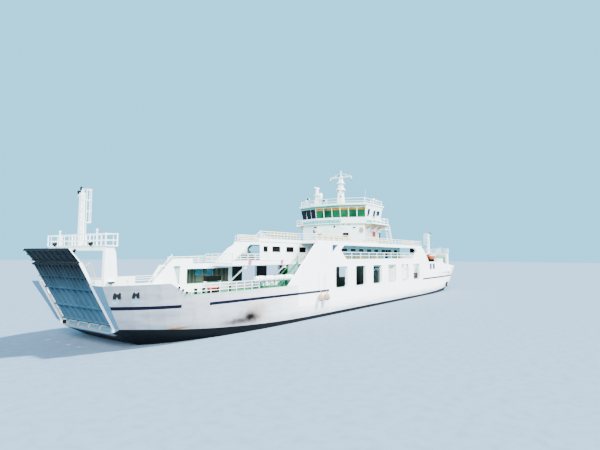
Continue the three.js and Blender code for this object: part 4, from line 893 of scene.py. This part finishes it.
def add_roof_gear():
    lights, stands = Solid(), Solid()
    for x, y, height in SEARCHLIGHTS:
        facing = -1 if x < 0 else 1
        axis = ROOF_TOP + height + 0.2
        stands.post(x, y, ROOF_TOP - 0.05, ROOF_TOP + height, 0.05)
        stands.bar((x + facing * 0.02, y, axis), (x - facing * 0.3, y, axis), 0.24, 0.16, 14)
        lights.bar((x + facing * 0.12, y, axis), (x + facing * 0.03, y, axis), 0.2, sides=14)
    for x, y in BALL_AERIALS:
        stands.post(x, y, ROOF_TOP - 0.05, ROOF_TOP + 0.8, 0.04)
        stands.ball((x, y, ROOF_TOP + 0.95), 0.22)
    stands.spun(DOME, (DOME_X, DOME_Y, DOME_FOOT))
    stands.post(DOME_X, DOME_Y, ROOF_TOP - 0.05, DOME_FOOT + 0.05, 0.07)
    lights.piece("searchlight_glass", DARK, "dark_steel")
    stands.piece("roof_gear", TRIM, smooth=40)


add_bridge_glass()
add_bridge_panes()
add_bridge_rooms()
add_catwalk()
add_roof_gear()


# Fittings on the tower's aft half. Columns: y, z, half width, half height, stand-off; y beyond the
# middle face's edge lies on the slanted face
DARK_FITTINGS = (
    (3.06, 12.8, 0.2, 0.27, 0.16), (1.7, 12.35, 0.5, 0.12, 0.1), (-1.31, 13.53, 0.15, 0.14, 0.12),
    (-3.4, 12.1, 0.5, 0.33, 0.3), (-4.76, 13.34, 0.24, 0.09, 0.1), (2.76, 13.54, 0.42, 0.1, 0.1),
)
PALE_FITTINGS = (
    (-2.76, 13.36, 0.42, 0.2, 0.1), (0.2, 12.1, 0.5, 1.35, 0.05), (2.6, 13.1, 0.35, 0.3, 0.14),
)
TEAL_FITTINGS = ((-2.95, 14.0, 0.17, 0.1, 0.25), (-3.85, 14.0, 0.17, 0.1, 0.25))
HORN_Y, HORN_Z = -5.95, 12.95


def on_tower_face(y):
    """Point on the tower's aft wall at that y, and the outward direction there."""
    run = BRIDGE["half"] - BRIDGE["end_half"]
    slant = BRIDGE["end"] - BRIDGE["shoulder"]
    beyond = max(0.0, abs(y) - BRIDGE["end_half"]) / run
    x = BRIDGE_X - BRIDGE["end"] + slant * beyond
    out = Vector((-1, 0, 0)) if beyond == 0 else Vector((-run, math.copysign(slant, y), 0)).normalized()
    return x, out


def add_tower_fitting(solid, row):
    y, z, half_y, half_z, stand_off = row
    x, out = on_tower_face(y)
    centre = Vector((x, y, z))
    along = Vector((-out.y, out.x, 0)) * half_y
    low = [centre + along - out * 0.02, centre - along - out * 0.02,
           centre - along + out * stand_off, centre + along + out * stand_off]
    if signed_area([(p.x, p.y) for p in low]) < 0:
        low.reverse()
    solid.rings([[p + Vector((0, 0, dz)) for p in low] for dz in (-half_z, half_z)])


def add_tower_details():
    for name, turned in (("aft", AS_DRAWN), ("fore", half_turn(BRIDGE_X))):
        for kind, rows, paint, slot in (
            ("dark", DARK_FITTINGS, DARK, "dark_steel"), ("pale", PALE_FITTINGS, TRIM, "house_white"),
            ("teal", TEAL_FITTINGS, RACK_GREEN, "deck_green"),
        ):
            solid = Solid(turned)
            for row in rows:
                add_tower_fitting(solid, row)
            solid.piece(f"tower_{kind}_{name}", paint, slot)
        # Round horn on the slanted face
        horn = Solid(turned)
        x, out = on_tower_face(HORN_Y)
        centre = Vector((x, HORN_Y, HORN_Z))
        horn.bar(centre, centre + out * 0.35, 0.14, 0.4, 18)
        horn.bar(centre + out * 0.2, centre + out * 0.5, 0.08, 0.1, 12)
        horn.piece(f"tower_horn_{name}", TAN, "fender_tan", smooth=40)
        boxes = Solid(turned)
        boxes.box((0.3, 1.15), (-6.72, -6.48), (11.95, 12.72))
        boxes.piece(f"fire_box_{name}", RED, "boat_orange")
        door = Solid(turned)
        door.box((3.0, 3.55), (-6.55, -6.48), (SUN_DECK, 12.65))
        door.piece(f"tower_door_{name}", SLATE_GLASS)
        pipes = Solid(turned)
        for pipe_x in (-0.4, 2.4):
            pipes.post(pipe_x, -6.6, SUN_DECK, 14.0, 0.05)
        pipes.bar((-0.8, -6.55, 12.9), (-0.8, -6.85, 12.9), 0.12, 0.2, 12)
        pipes.bar((2.0, -6.55, 12.9), (2.0, -6.85, 12.9), 0.1, 0.16, 12)
        pipes.piece(f"tower_pipes_{name}", TRIM)


add_tower_details()


STEPS_TOP, STEPS_FOOT = Vector((5.2, 0, 13.25)), Vector((6.3, 0, SUN_DECK))
STEPS_INNER, STEPS_OUTER = 6.8, 7.6


def add_wing_details(hand, side):
    under = Solid()
    inner, outer = side * 6.56, side * 7.95
    # Tan underside of the wing: painted shade
    under.cross_plate([(inner, 13.2), (outer, 13.86), (outer, 13.93), (inner, 13.93)], (-2.5, 3.8))
    under.piece(f"wing_underside_{hand}", TAN)
    # Landing below the wing, and steps from it down to the sun deck
    step = Solid()
    step.box((3.2, 5.2), span(side * 5.9, side * 7.7), (13.2, 13.32))
    step.railing([(3.3, side * 7.65, 13.3), (5.1, side * 7.65, 13.3)], 0.8, 2, 0.9)
    count, hand_rail = 9, Vector((0, 0, 0.85))
    for i in range(count):
        x, y, z = STEPS_TOP.lerp(STEPS_FOOT, (i + 0.5) / count)
        step.box((x - 0.13, x + 0.15), span(side * STEPS_INNER, side * STEPS_OUTER), (z, z + 0.05))
    for y in (side * STEPS_INNER, side * STEPS_OUTER):
        top, foot = [end + Vector((0, y, 0)) for end in (STEPS_TOP, STEPS_FOOT)]
        step.bar(top, foot, 0.06)
        step.bar(top + hand_rail, foot + hand_rail, 0.03)
        for share in (0.0, 0.5, 1.0):
            at = top.lerp(foot, share)
            step.bar(at, at + hand_rail, 0.03)
    step.piece(f"wing_steps_{hand}", TRIM)


for hand_name, side_sign in (("starboard", -1), ("port", 1)):
    add_wing_details(hand_name, side_sign)


# Masts

MAST_X = 0.5
# Columns: z, reach
MAST_PLATFORMS = ((20.75, 0.75), (22.05, 0.55))
MAST_LADDER = {
    "foot_x": -0.12, "top_x": 0.2, "top": 23.2, "half": 0.17, "rungs": 14, "first": 18.0, "pitch": 0.37,
    "lean": 0.32 / 5.6,
}
DARK_LAMPS = ((-0.1, 0.28, 20.55), (0.0, -0.3, 19.4), (0.25, 0.2, 23.35), (0.3, -0.25, 22.95))


def add_mast_details():
    mast = Solid()
    for z, reach in MAST_PLATFORMS:
        mast.post(MAST_X - reach, 0, z - 0.1, z + 0.35, 0.13, sides=10)
        for side in SIDES:
            mast.post(MAST_X, side * reach, z - 0.1, z + 0.3, 0.1, sides=10)
        mast.bar((MAST_X - reach, 0, z), (MAST_X, 0, z), 0.06)
    ladder = MAST_LADDER
    for side in SIDES:
        y = side * ladder["half"]
        mast.bar((ladder["foot_x"], y, ROOF_TOP), (ladder["top_x"], y, ladder["top"]), 0.025)
    for i in range(ladder["rungs"]):
        z = ladder["first"] + ladder["pitch"] * i
        x = ladder["foot_x"] + ladder["lean"] * (z - ROOF_TOP)
        mast.bar((x, -ladder["half"], z), (x, ladder["half"], z), 0.02)
    for side in SIDES:
        mast.bar((MAST_X, side * 0.1, 23.9), (MAST_X, side * 2.2, 23.15), 0.025)
        mast.post(MAST_X, side * 1.1, 23.15, 23.5, 0.05, sides=8)
    mast.piece("mast_lamps", TRIM)
    dark = Solid()
    for x, y, z in DARK_LAMPS:
        dark.bar((x, y, z), (x - 0.16, y, z), 0.12, sides=10)
    dark.piece("mast_dark_lamps", DARK, "dark_steel")
    lamps = Solid()
    for side in SIDES:
        lamps.post(MAST_X, side * 2.25, 22.3, 22.62, 0.12, sides=10)
    lamps.piece("mast_signal_lamps", BLUE)
    radar = Solid()
    radar.ball((-1.5, 3.45, 19.95), 0.2).ball((-1.0, 4.6, 19.1), 0.26)
    radar.bar((-1.5, 4.0, 19.0), (-0.95, 4.55, 19.0), 0.05)
    radar.post(-1.9, 3.1, ROOF_TOP, 19.6, 0.025)
    radar.post(1.9, -4.4, ROOF_TOP, 20.6, 0.02)
    radar.piece("aerials", TRIM, smooth=40)


add_mast_details()


# Gantries at both ends

GANTRY_X, GANTRY_TOP, LEG_FACE = 48.4, 9.33, 5.16
FLOODLIGHTS = (-3.42, 3.14)
STANCHIONS = (-2.96, 3.68)


def add_gantry_details(end, placing):
    fine, dark = Solid(placing), Solid(placing)
    x, top = GANTRY_X, GANTRY_TOP
    for i in range(12):
        z = 9.5 + i * 0.42
        fine.bar((x - 0.2, 0.45, z), (x + 0.2, 0.45, z), 0.02)
    for dx in (-0.55, 0.55):
        for i in range(8):
            fine.post(x + dx, -4.55 + i * 1.3, top - 0.03, top + 1.02, 0.028)
    # Floodlights on brackets, and two stanchions that stand taller than the rail
    for y in FLOODLIGHTS:
        dark.bar((x + 0.5, y, top + 0.22), (x + 0.84, y, top + 0.08), 0.1, 0.19, 12)
        fine.post(x + 0.5, y, top, top + 0.22, 0.04)
    for y in STANCHIONS:
        fine.post(x + 0.5, y, top - 0.05, top + 1.3, 0.06)
        fine.post(x + 0.5, y, top + 1.3, top + 1.45, 0.1, sides=10)
    # Signal lamps at the mast's top and a horn under the beam
    fine.bar((x, 0, 14.2), (x, -0.65, 14.2), 0.05)
    fine.post(x, 0, 14.3, 14.75, 0.05)
    dark.post(x, -0.62, 14.3, 14.6, 0.16, sides=12)
    dark.post(x, -0.24, 14.6, 14.95, 0.11, sides=12)
    fine.bar((x, 0, 14.45), (x, -0.3, 14.62), 0.04)
    dark.bar((x + 0.6, 0.25, 8.95), (x + 0.85, 0.35, 8.7), 0.1, 0.17, 10)
    fine.bar((x + 0.3, 0.25, 9.0), (x + 0.6, 0.25, 8.95), 0.05)
    # Plate at each leg's foot, and above it a lamp with a lid
    for side in SIDES:
        y = side * LEG_FACE
        fine.box((x - 0.35, x + 0.45), span(y, y + side * 0.03), (4.7, 5.0))
        dark.box((x - 0.3, x + 0.2), span(y, y + side * 0.22), (6.0, 6.14))
        fine.box((x - 0.36, x + 0.26), span(y, y + side * 0.26), (6.14, 6.2))
    fine.piece(f"gantry_rails_{end}", RAIL)
    dark.piece(f"gantry_lamps_{end}", DARK, "dark_steel")


for each_end in ENDS:
    add_gantry_details(*each_end)


# Ramps, drawn flat from the hinge outboard along +X

RAMP = {"length": 6.6, "half": 4.18, "depth": 0.36, "raised": math.radians(60.7)}
FLAP = {"from": 0.08, "to": 1.58, "raised": math.radians(50)}
HINGE_X = 47.6 - RAMP["depth"] * math.sin(RAMP["raised"])
HINGE_Z = CAR_DECK + RAMP["depth"] * math.cos(RAMP["raised"])
LUGS = (-3.9, -1.95, 0, 1.95, 3.9)
LUG_REACH = 0.15
PLATE = (-0.1, -0.015)
# Cross beams. Columns: place along the ramp, width
RAMP_BEAMS = ((0.3, 0.1), (1.95, 0.12), (3.93, 0.12), (5.2, 0.06), (6.48, 0.12))


def raised_ramp(placing):
    """Takes a point drawn on the flat ramp to the raised ramp at that end."""
    return placing @ Matrix.Translation((HINGE_X, 0, HINGE_Z)) @ Matrix.Rotation(-RAMP["raised"], 4, "Y")


def raised_flap(placing):
    fold = Matrix.Rotation(RAMP["raised"] - FLAP["raised"], 4, "Y")
    return raised_ramp(placing) @ Matrix.Translation((RAMP["length"], 0, 0)) @ fold


def add_troughs(solid, along, count, inset, half_foot, half_top, depth):
    """Folded stiffeners with slanted flanks side by side under the plate."""
    half = RAMP["half"] - inset
    for i in range(count):
        y = -half + 2 * half * i / (count - 1)
        outline = [(y - half_foot, -0.05), (y - half_top, -depth), (y + half_top, -depth)]
        solid.cross_plate(outline + [(y + half_foot, -0.05)], along)


def add_driving_face(part, end, placing, along, first, count, pitch):
    """Green upper face with cross ribs for the tyres."""
    half = RAMP["half"] - 0.02
    face = Solid(placing)
    face.box(along, (-half, half), (-0.016, 0.0))
    for i in range(count):
        x = first + i * pitch
        face.box((x, x + 0.06), (-3.6, 3.6), (-0.005, 0.02))
    face.piece(f"{part}_deck_{end}", RAMP_DECK, "deck_green", f"{part}_{end}")


def add_ramp_panel(end, placing):
    half, length, depth = RAMP["half"], RAMP["length"], RAMP["depth"]
    raised = raised_ramp(placing)
    panel = Solid(raised)
    panel.box((0.3, length), (-half, half), PLATE)
    edges = [-half] + [y + d for y in LUGS for d in (-LUG_REACH, LUG_REACH)] + [half]
    for low, high in zip(edges[::2], edges[1::2]):
        panel.box((0.12, 0.3), (low, high), PLATE)
    for low, high in zip(edges[2:-1:2], edges[3:-1:2]):
        panel.bar((0, low, 0), (0, high, 0), 0.1, sides=12)
        panel.box((0.0, 0.2), (low, high), PLATE)
    for x, width in RAMP_BEAMS:
        panel.box((x, x + width), (-half, half), (-depth, -0.05))
    add_troughs(panel, (0.4, 1.97), 8, 0.52, 0.27, 0.15, 0.3)
    add_troughs(panel, (2.05, 3.95), 8, 0.52, 0.27, 0.15, 0.3)
    add_troughs(panel, (4.03, length - 0.1), 13, 0.32, 0.2, 0.12, 0.31)
    panel.piece(f"ramp_panel_{end}", RAMP_STEEL, "ramp_grey", f"ramp_{end}", [f"ramp_{end}"])
    add_driving_face("ramp", end, raised, (0.31, length - 0.01), 0.5, 12, 0.5)
    edge = Solid(raised)
    for side in SIDES:
        edge.box((0.3, length), span(side * (half - 0.02), side * (half + 0.06)), (-0.2, 0.06))
        for x in (1.2, 2.9, 4.5):
            edge.box((x, x + 0.25), span(side * half, side * (half + 0.12)), (-0.12, 0.1))
    edge.piece(f"ramp_edges_{end}", TRIM, "ramp_grey", f"ramp_{end}")
    hinges = Solid(raised)
    for i in range(9):
        y = -3.9 + i * 0.975
        hinges.box((length - 0.16, length - 0.005), (y - 0.12, y + 0.12), (-0.4, -0.34))
    hinges.piece(f"flap_hinges_{end}", DARK, "ramp_grey", f"ramp_{end}")


def add_flap(end, placing):
    half, start, stop = RAMP["half"], FLAP["from"], FLAP["to"]
    raised = raised_flap(placing)
    flap = Solid(raised)
    flap.box((start, stop), (-half, half), PLATE)
    for x in (0.24, 1.45):
        flap.box((x, x + 0.08), (-half, half), (-0.22, -0.05))
    flap.box((0.92, 1.0), (-half, half), (-0.2, -0.05))
    add_troughs(flap, (0.3, 1.47), 8, 0.52, 0.26, 0.14, 0.17)
    flap.piece(f"flap_panel_{end}", RAMP_STEEL, "ramp_grey", f"flap_{end}", [f"flap_{end}"])
    add_driving_face("flap", end, raised, (start + 0.01, stop - 0.01), 0.3, 3, 0.45)
    edge = Solid(raised)
    for side in SIDES:
        edge.box((start, stop), span(side * (half - 0.02), side * (half + 0.05)), (-0.1, -0.01))
    edge.piece(f"flap_edges_{end}", TRIM, "ramp_grey", f"flap_{end}")


for each_end in ENDS:
    add_ramp_panel(*each_end)
    add_flap(*each_end)


# Deck gear

BOLLARDS = ((-40.5, -7.2), (-39.5, -7.2), (-37.5, -7.2), (-35.8, -7.2))


def add_corner_gear():
    """Bollards, lockers, winches, lamp posts and railings on the four corner decks."""
    white, dark, green = Solid(), Solid(), Solid()
    deck, axis = SIDE_DECK, SIDE_DECK + 0.5
    for end, side in ((-1, -1), (-1, 1), (1, -1), (1, 1)):
        for distance in (44.2, 46.8):
            x, y = end * distance, side * 6.0
            for dx in (-0.28, 0.28):
                dark.post(x + dx, y, deck, deck + 0.55, 0.14, sides=12)
            dark.box((x - 0.5, x + 0.5), (y - 0.22, y + 0.22), (deck, deck + 0.06))
        white.box(span(end * 42.9, end * 43.9), span(side * 5.2, side * 5.9), (deck, deck + 0.95))
        winch = end * 45.4
        dark.bar((winch, side * 5.1, axis), (winch, side * 5.9, axis), 0.3, sides=14)
        for y in (side * 5.05, side * 5.95):
            green.bar((winch, y - 0.04, axis), (winch, y + 0.04, axis), 0.42, sides=16)
        green.box((winch - 0.35, winch + 0.35), span(side * 5.0, side * 6.0), (deck, deck + 0.25))
        white.post(end * 47.0, side * 5.6, deck, deck + 1.5, 0.1, sides=10)
        white.post(end * 47.0, side * 5.6, deck + 1.5, deck + 1.6, 0.17, sides=10)
        ends = [(end * x, side * 4.5, deck) for x in (46.9, 42.4)]
        white.railing(ends, 1.0, 3, 1.3)
    white.piece("corner_lockers", TRIM)
    dark.piece("corner_bollards", DARK, "dark_steel")
    green.piece("winches", RACK_GREEN, "deck_green")


def add_side_deck_gear(hand, placing):
    dark, rings, white = Solid(placing), Solid(placing), Solid(placing)
    for x in (-42.1, -42.55, -43.0):
        z = SIDE_DECK + (-x - 41.8) * 0.571
        dark.bar((x, -7.72, z), (x + 0.1, -7.72, z + 0.16), 0.11, sides=10)
    for x, y in BOLLARDS:
        dark.post(x, y, SIDE_DECK, SIDE_DECK + 0.5, 0.15, sides=12)
        dark.post(x, y, SIDE_DECK + 0.42, SIDE_DECK + 0.52, 0.2, sides=12)
    for x in (-38.9, -38.35):
        rings.ring((x, -7.5, 5.2), "Z", 0.3, 0.1)
        dark.box((x - 0.25, x + 0.25), (-7.62, -7.38), (SIDE_DECK, 5.12))
    # Light frame by the ramp: a folded boarding ladder that leans on its stand
    corners = [(-45.6, SIDE_DECK), (-45.25, 7.09), (-44.35, 7.61), (-43.3, SIDE_DECK)]
    for (x0, z0), (x1, z1) in zip(corners, corners[1:]):
        white.bar((x0, 5.4, z0), (x1, 5.4, z1), 0.035)
    white.bar((-44.62, 5.4, 7.42), (-43.75, 5.4, SIDE_DECK), 0.03)
    dark.piece(f"side_deck_bollards_{hand}", DARK, "dark_steel")
    rings.piece(f"life_rings_{hand}", ORANGE, "boat_orange", smooth=50)
    white.piece(f"ladder_frame_{hand}", CREAM)


# Pairs of roller fairleads in the bulwarks, dark at the stern and pale at the bow. Columns: x, half
# breadth there, slope of the side in degrees
FAIRLEADS = ((48.5, 6.46, 16.7), (46.98, 6.9, 13.3))


def add_fairleads(end, placing):
    lips = Solid(placing)
    for side in SIDES:
        for x, y, degrees in FAIRLEADS:
            slope = math.radians(degrees)
            along = Vector((math.cos(slope), -side * math.sin(slope), 0))
            out = Vector((math.sin(slope), side * math.cos(slope), 0))
            centre = Vector((x, side * y, 4.98)) - out * 0.02
            for shift in (-0.2, 0.2):
                foot = centre + along * shift
                lips.post(foot.x, foot.y, foot.z - 0.28, foot.z + 0.28, 0.13, sides=10)
            for height in (-0.02, 0.12):
                level = centre + Vector((0, 0, height))
                lips.bar(level - along * 0.22, level + along * 0.22, 0.1, sides=10)
    lips.piece(f"fairleads_{end}", DARK if end == "stern" else TAN, "dark_steel")


add_corner_gear()
for each_hand in HANDS:
    add_side_deck_gear(*each_hand)
for each_end in ENDS:
    add_fairleads(*each_end)


RAFTS = {"from": -31.7, "count": 4, "pitch": 1.9, "radius": 0.36, "y": -7.1, "axis": 5.7}


def add_liferafts(hand, placing):
    """Canisters lying along the deck on racks with crossed stays."""
    radius, y, axis = RAFTS["radius"], RAFTS["y"], RAFTS["axis"]
    profile = [(0.12, -0.86), (0.3, -0.8), (radius, -0.6), (radius, 0.6), (0.3, 0.8), (0.12, 0.86)]
    cans, straps, rack = Solid(placing), Solid(placing), Solid(placing)
    for i in range(RAFTS["count"]):
        x = RAFTS["from"] + (i + 0.5) * RAFTS["pitch"]
        cans.spun(profile, (x, y, axis), "X", 18)
        cans.spun([(radius + 0.015, -0.05), (radius + 0.015, 0.05)], (x, y, axis), "X", 18)
        for dx in (-0.4, 0.4):
            strap = [(radius + 0.012, dx - 0.025), (radius + 0.012, dx + 0.025)]
            straps.spun(strap, (x, y, axis), "X", 18)
        for dx in (-0.55, 0.55):
            for dy in (-0.3, 0.3):
                rack.post(x + dx, y + dy, SIDE_DECK, axis - 0.2, 0.05)
            rack.bar((x + dx, y - 0.3, axis - 0.33), (x + dx, y + 0.3, axis - 0.33), 0.05)
        for lean in (-0.55, 0.55):
            rack.bar((x + lean, y - 0.3, SIDE_DECK + 0.05), (x - lean, y - 0.3, axis - 0.35), 0.04)
    end = RAFTS["from"] + RAFTS["count"] * RAFTS["pitch"]
    for dy in (-0.3, 0.3):
        rack.bar((RAFTS["from"], y + dy, axis - 0.3), (end, y + dy, axis - 0.3), 0.055)
    cans.piece(f"raft_canisters_{hand}", TRIM, replaces=[f"liferafts_{hand}"], smooth=30)
    straps.piece(f"raft_straps_{hand}", DARK, "dark_steel")
    rack.piece(f"raft_racks_{hand}", RACK_GREEN, "deck_green")


# Stretches of sun deck bench. Columns: from, to, y of the seat's middle
OUTER_BENCHES = ((-19.3, -9.2, -7.1), (-3.9, 5.7, -7.1), (11.9, 18.1, -7.1))
NARROW_BENCHES = ((-26.2, -19.9, -4.4),)
STEP_BENCHES = ((-31.2, -28.9, -4.2),)
# Starts of the gallery's benches
GALLERY_BENCHES = (-10.6, -4.6, 1.4, 13.0)


def add_bench(slats, legs, start, stop, y, deck):
    """Slatted seat and back on frames, facing inboard."""
    for k in range(3):
        at = y + 0.18 - 0.17 * k
        slats.box((start, stop), (at - 0.07, at + 0.07), (deck + 0.4, deck + 0.46))
    for k in range(2):
        at, low = y - 0.26 - 0.03 * k, deck + 0.5 + 0.15 * k
        slats.box((start, stop), (at - 0.02, at + 0.02), (low, low + 0.13))
    count = max(2, round((stop - start) / 1.6) + 1)
    for i in range(count):
        x = start + 0.2 + (stop - start - 0.46) * i / (count - 1)
        legs.box((x, x + 0.06), (y - 0.26, y + 0.24), (deck + 0.36, deck + 0.42))
        legs.box((x, x + 0.06), (y - 0.36, y - 0.32), (deck, deck + 0.76))
        legs.box((x, x + 0.06), (y + 0.16, y + 0.22), (deck, deck + 0.38))


def add_benches(hand, placing):
    legs = Solid(placing)
    for name, rows, deck, replaces in (
        ("outer", OUTER_BENCHES, SUN_DECK, [f"bench_{hand}"]), ("narrow", NARROW_BENCHES, SUN_DECK, []),
        ("step", STEP_BENCHES, AFT_SUN_DECK, []),
    ):
        slats = Solid(placing)
        for start, stop, y in rows:
            add_bench(slats, legs, start, stop, y, deck)
        slats.piece(f"bench_{name}_{hand}", YELLOW, "bench_yellow", replaces=replaces)
    gallery = Solid(placing)
    for start in GALLERY_BENCHES:
        add_bench(gallery, legs, start, start + 4.2, -5.45, PASSENGER_DECK)
    gallery.piece(f"bench_gallery_{hand}", YELLOW, "bench_yellow")
    legs.piece(f"bench_legs_{hand}", TRIM)


for each_hand in HANDS:
    add_liferafts(*each_hand)
    add_benches(*each_hand)


# Rescue boat on the starboard boat deck

BOAT = {"x": 30.9, "y": -6.4, "half_length": 2.55, "half": 0.9, "keel": 7.6, "gunwale": 8.6}


def add_boat():
    x, y, half, gunwale = BOAT["x"], BOAT["y"], BOAT["half"], BOAT["gunwale"]
    depth = gunwale - BOAT["keel"]
    rings = []
    for i in range(17):
        t = -1 + i / 8
        width = half * (1 - 0.25 * max(0, -t - 0.4) / 0.6) if t < 0 else half * max(0.14, 1 - t ** 2.6)
        rise = depth * 0.82 * max(0, (abs(t) - 0.35) / 0.65) ** 1.2
        outer = []
        for k in range(11):
            a = math.pi * k / 10
            height = gunwale - (depth - rise) * math.sin(a) ** 0.7
            outer.append((x + t * BOAT["half_length"], y - width * math.cos(a), height))
        inner = [(px, y + (py - y) * 0.8, min(pz + 0.12, gunwale - 0.02)) for px, py, pz in outer]
        rings.append(outer + list(reversed(inner)))
    shell = Solid().rings(rings)
    shell.piece("rescue_boat_shell", ORANGE, "boat_orange", replaces=["rescue_boat"], smooth=50)
    fittings = Solid()
    fittings.box((x - 0.5, x + 0.3), (y - 0.3, y + 0.3), (8.0, 8.85))
    fittings.box((x - 1.5, x - 1.1), (y - 0.65, y + 0.65), (8.3, 8.38))
    fittings.box((x - 2.25, x - 1.95), (y - 0.2, y + 0.2), (8.1, 8.8))
    fittings.piece("rescue_boat_fittings", DARK, "dark_steel")
    tube = Solid()
    for side in SIDES:
        edge = [(x - 2.4, 0.68), (x - 1.2, 0.88), (x + 0.6, 0.87), (x + 1.7, 0.6), (x + 2.4, 0.2)]
        for (ax, ay), (bx, by) in zip(edge, edge[1:]):
            tube.bar((ax, y + side * ay, gunwale), (bx, y + side * by, gunwale), 0.09, sides=12)
    tube.piece("rescue_boat_fender", TRIM, "boat_orange", smooth=40)


def add_boat_deck_gear():
    lockers = Solid()
    lockers.box((33.75, 35.05), (-7.2, -5.3), (BOAT_DECK, 7.95))
    lockers.box((36.2, 37.8), (-7.1, -6.0), (SIDE_DECK, 7.85))
    lockers.piece("boat_deck_lockers", TRIM)
    davit = Solid()
    davit.box((27.55, 27.95), (-6.6, -6.2), (9.12, 9.24))
    davit.post(30.55, -6.4, 9.1, 8.9, 0.06)
    davit.ball((27.6, -6.4, 9.1), 0.2)
    davit.piece("davit_winch", DARK, "dark_steel", "davit_arm")


FENDERS = (("aft", -19.25), ("fore", -17.75))
FENDER_RADIUS, FENDER_MIDDLE = 0.42, 2.75


def add_fenders():
    """Balls that hang just clear of the hull, on ropes that lie against the ship's side."""
    turns = [math.pi * (i / 12 - 0.5) for i in range(1, 12)]
    profile = [(FENDER_RADIUS * math.cos(a) ** 0.8, 0.5 * math.sin(a)) for a in turns]
    profile = [(0.0, -0.55)] + profile + [(0.08, 0.56), (0.08, 0.68), (0.0, 0.7)]
    y, near_hull = -HALF_BEAM - FENDER_RADIUS - 0.003, -HALF_BEAM - 0.03
    for name, x in FENDERS:
        body = Solid().spun(profile, (x, y, FENDER_MIDDLE), "Z", 24)
        body.piece(f"fender_ball_{name}", TAN, "fender_tan", replaces=[f"fender_{name}"], smooth=40)
        hanger = Solid().bar((x, y, 3.44), (x, near_hull, 4.2), 0.025)
        hanger.post(x, near_hull, 4.2, 6.0, 0.02)
        hanger.piece(f"fender_hanger_{name}", ROPE, "fender_tan")


add_boat()
add_boat_deck_gear()
add_fenders()
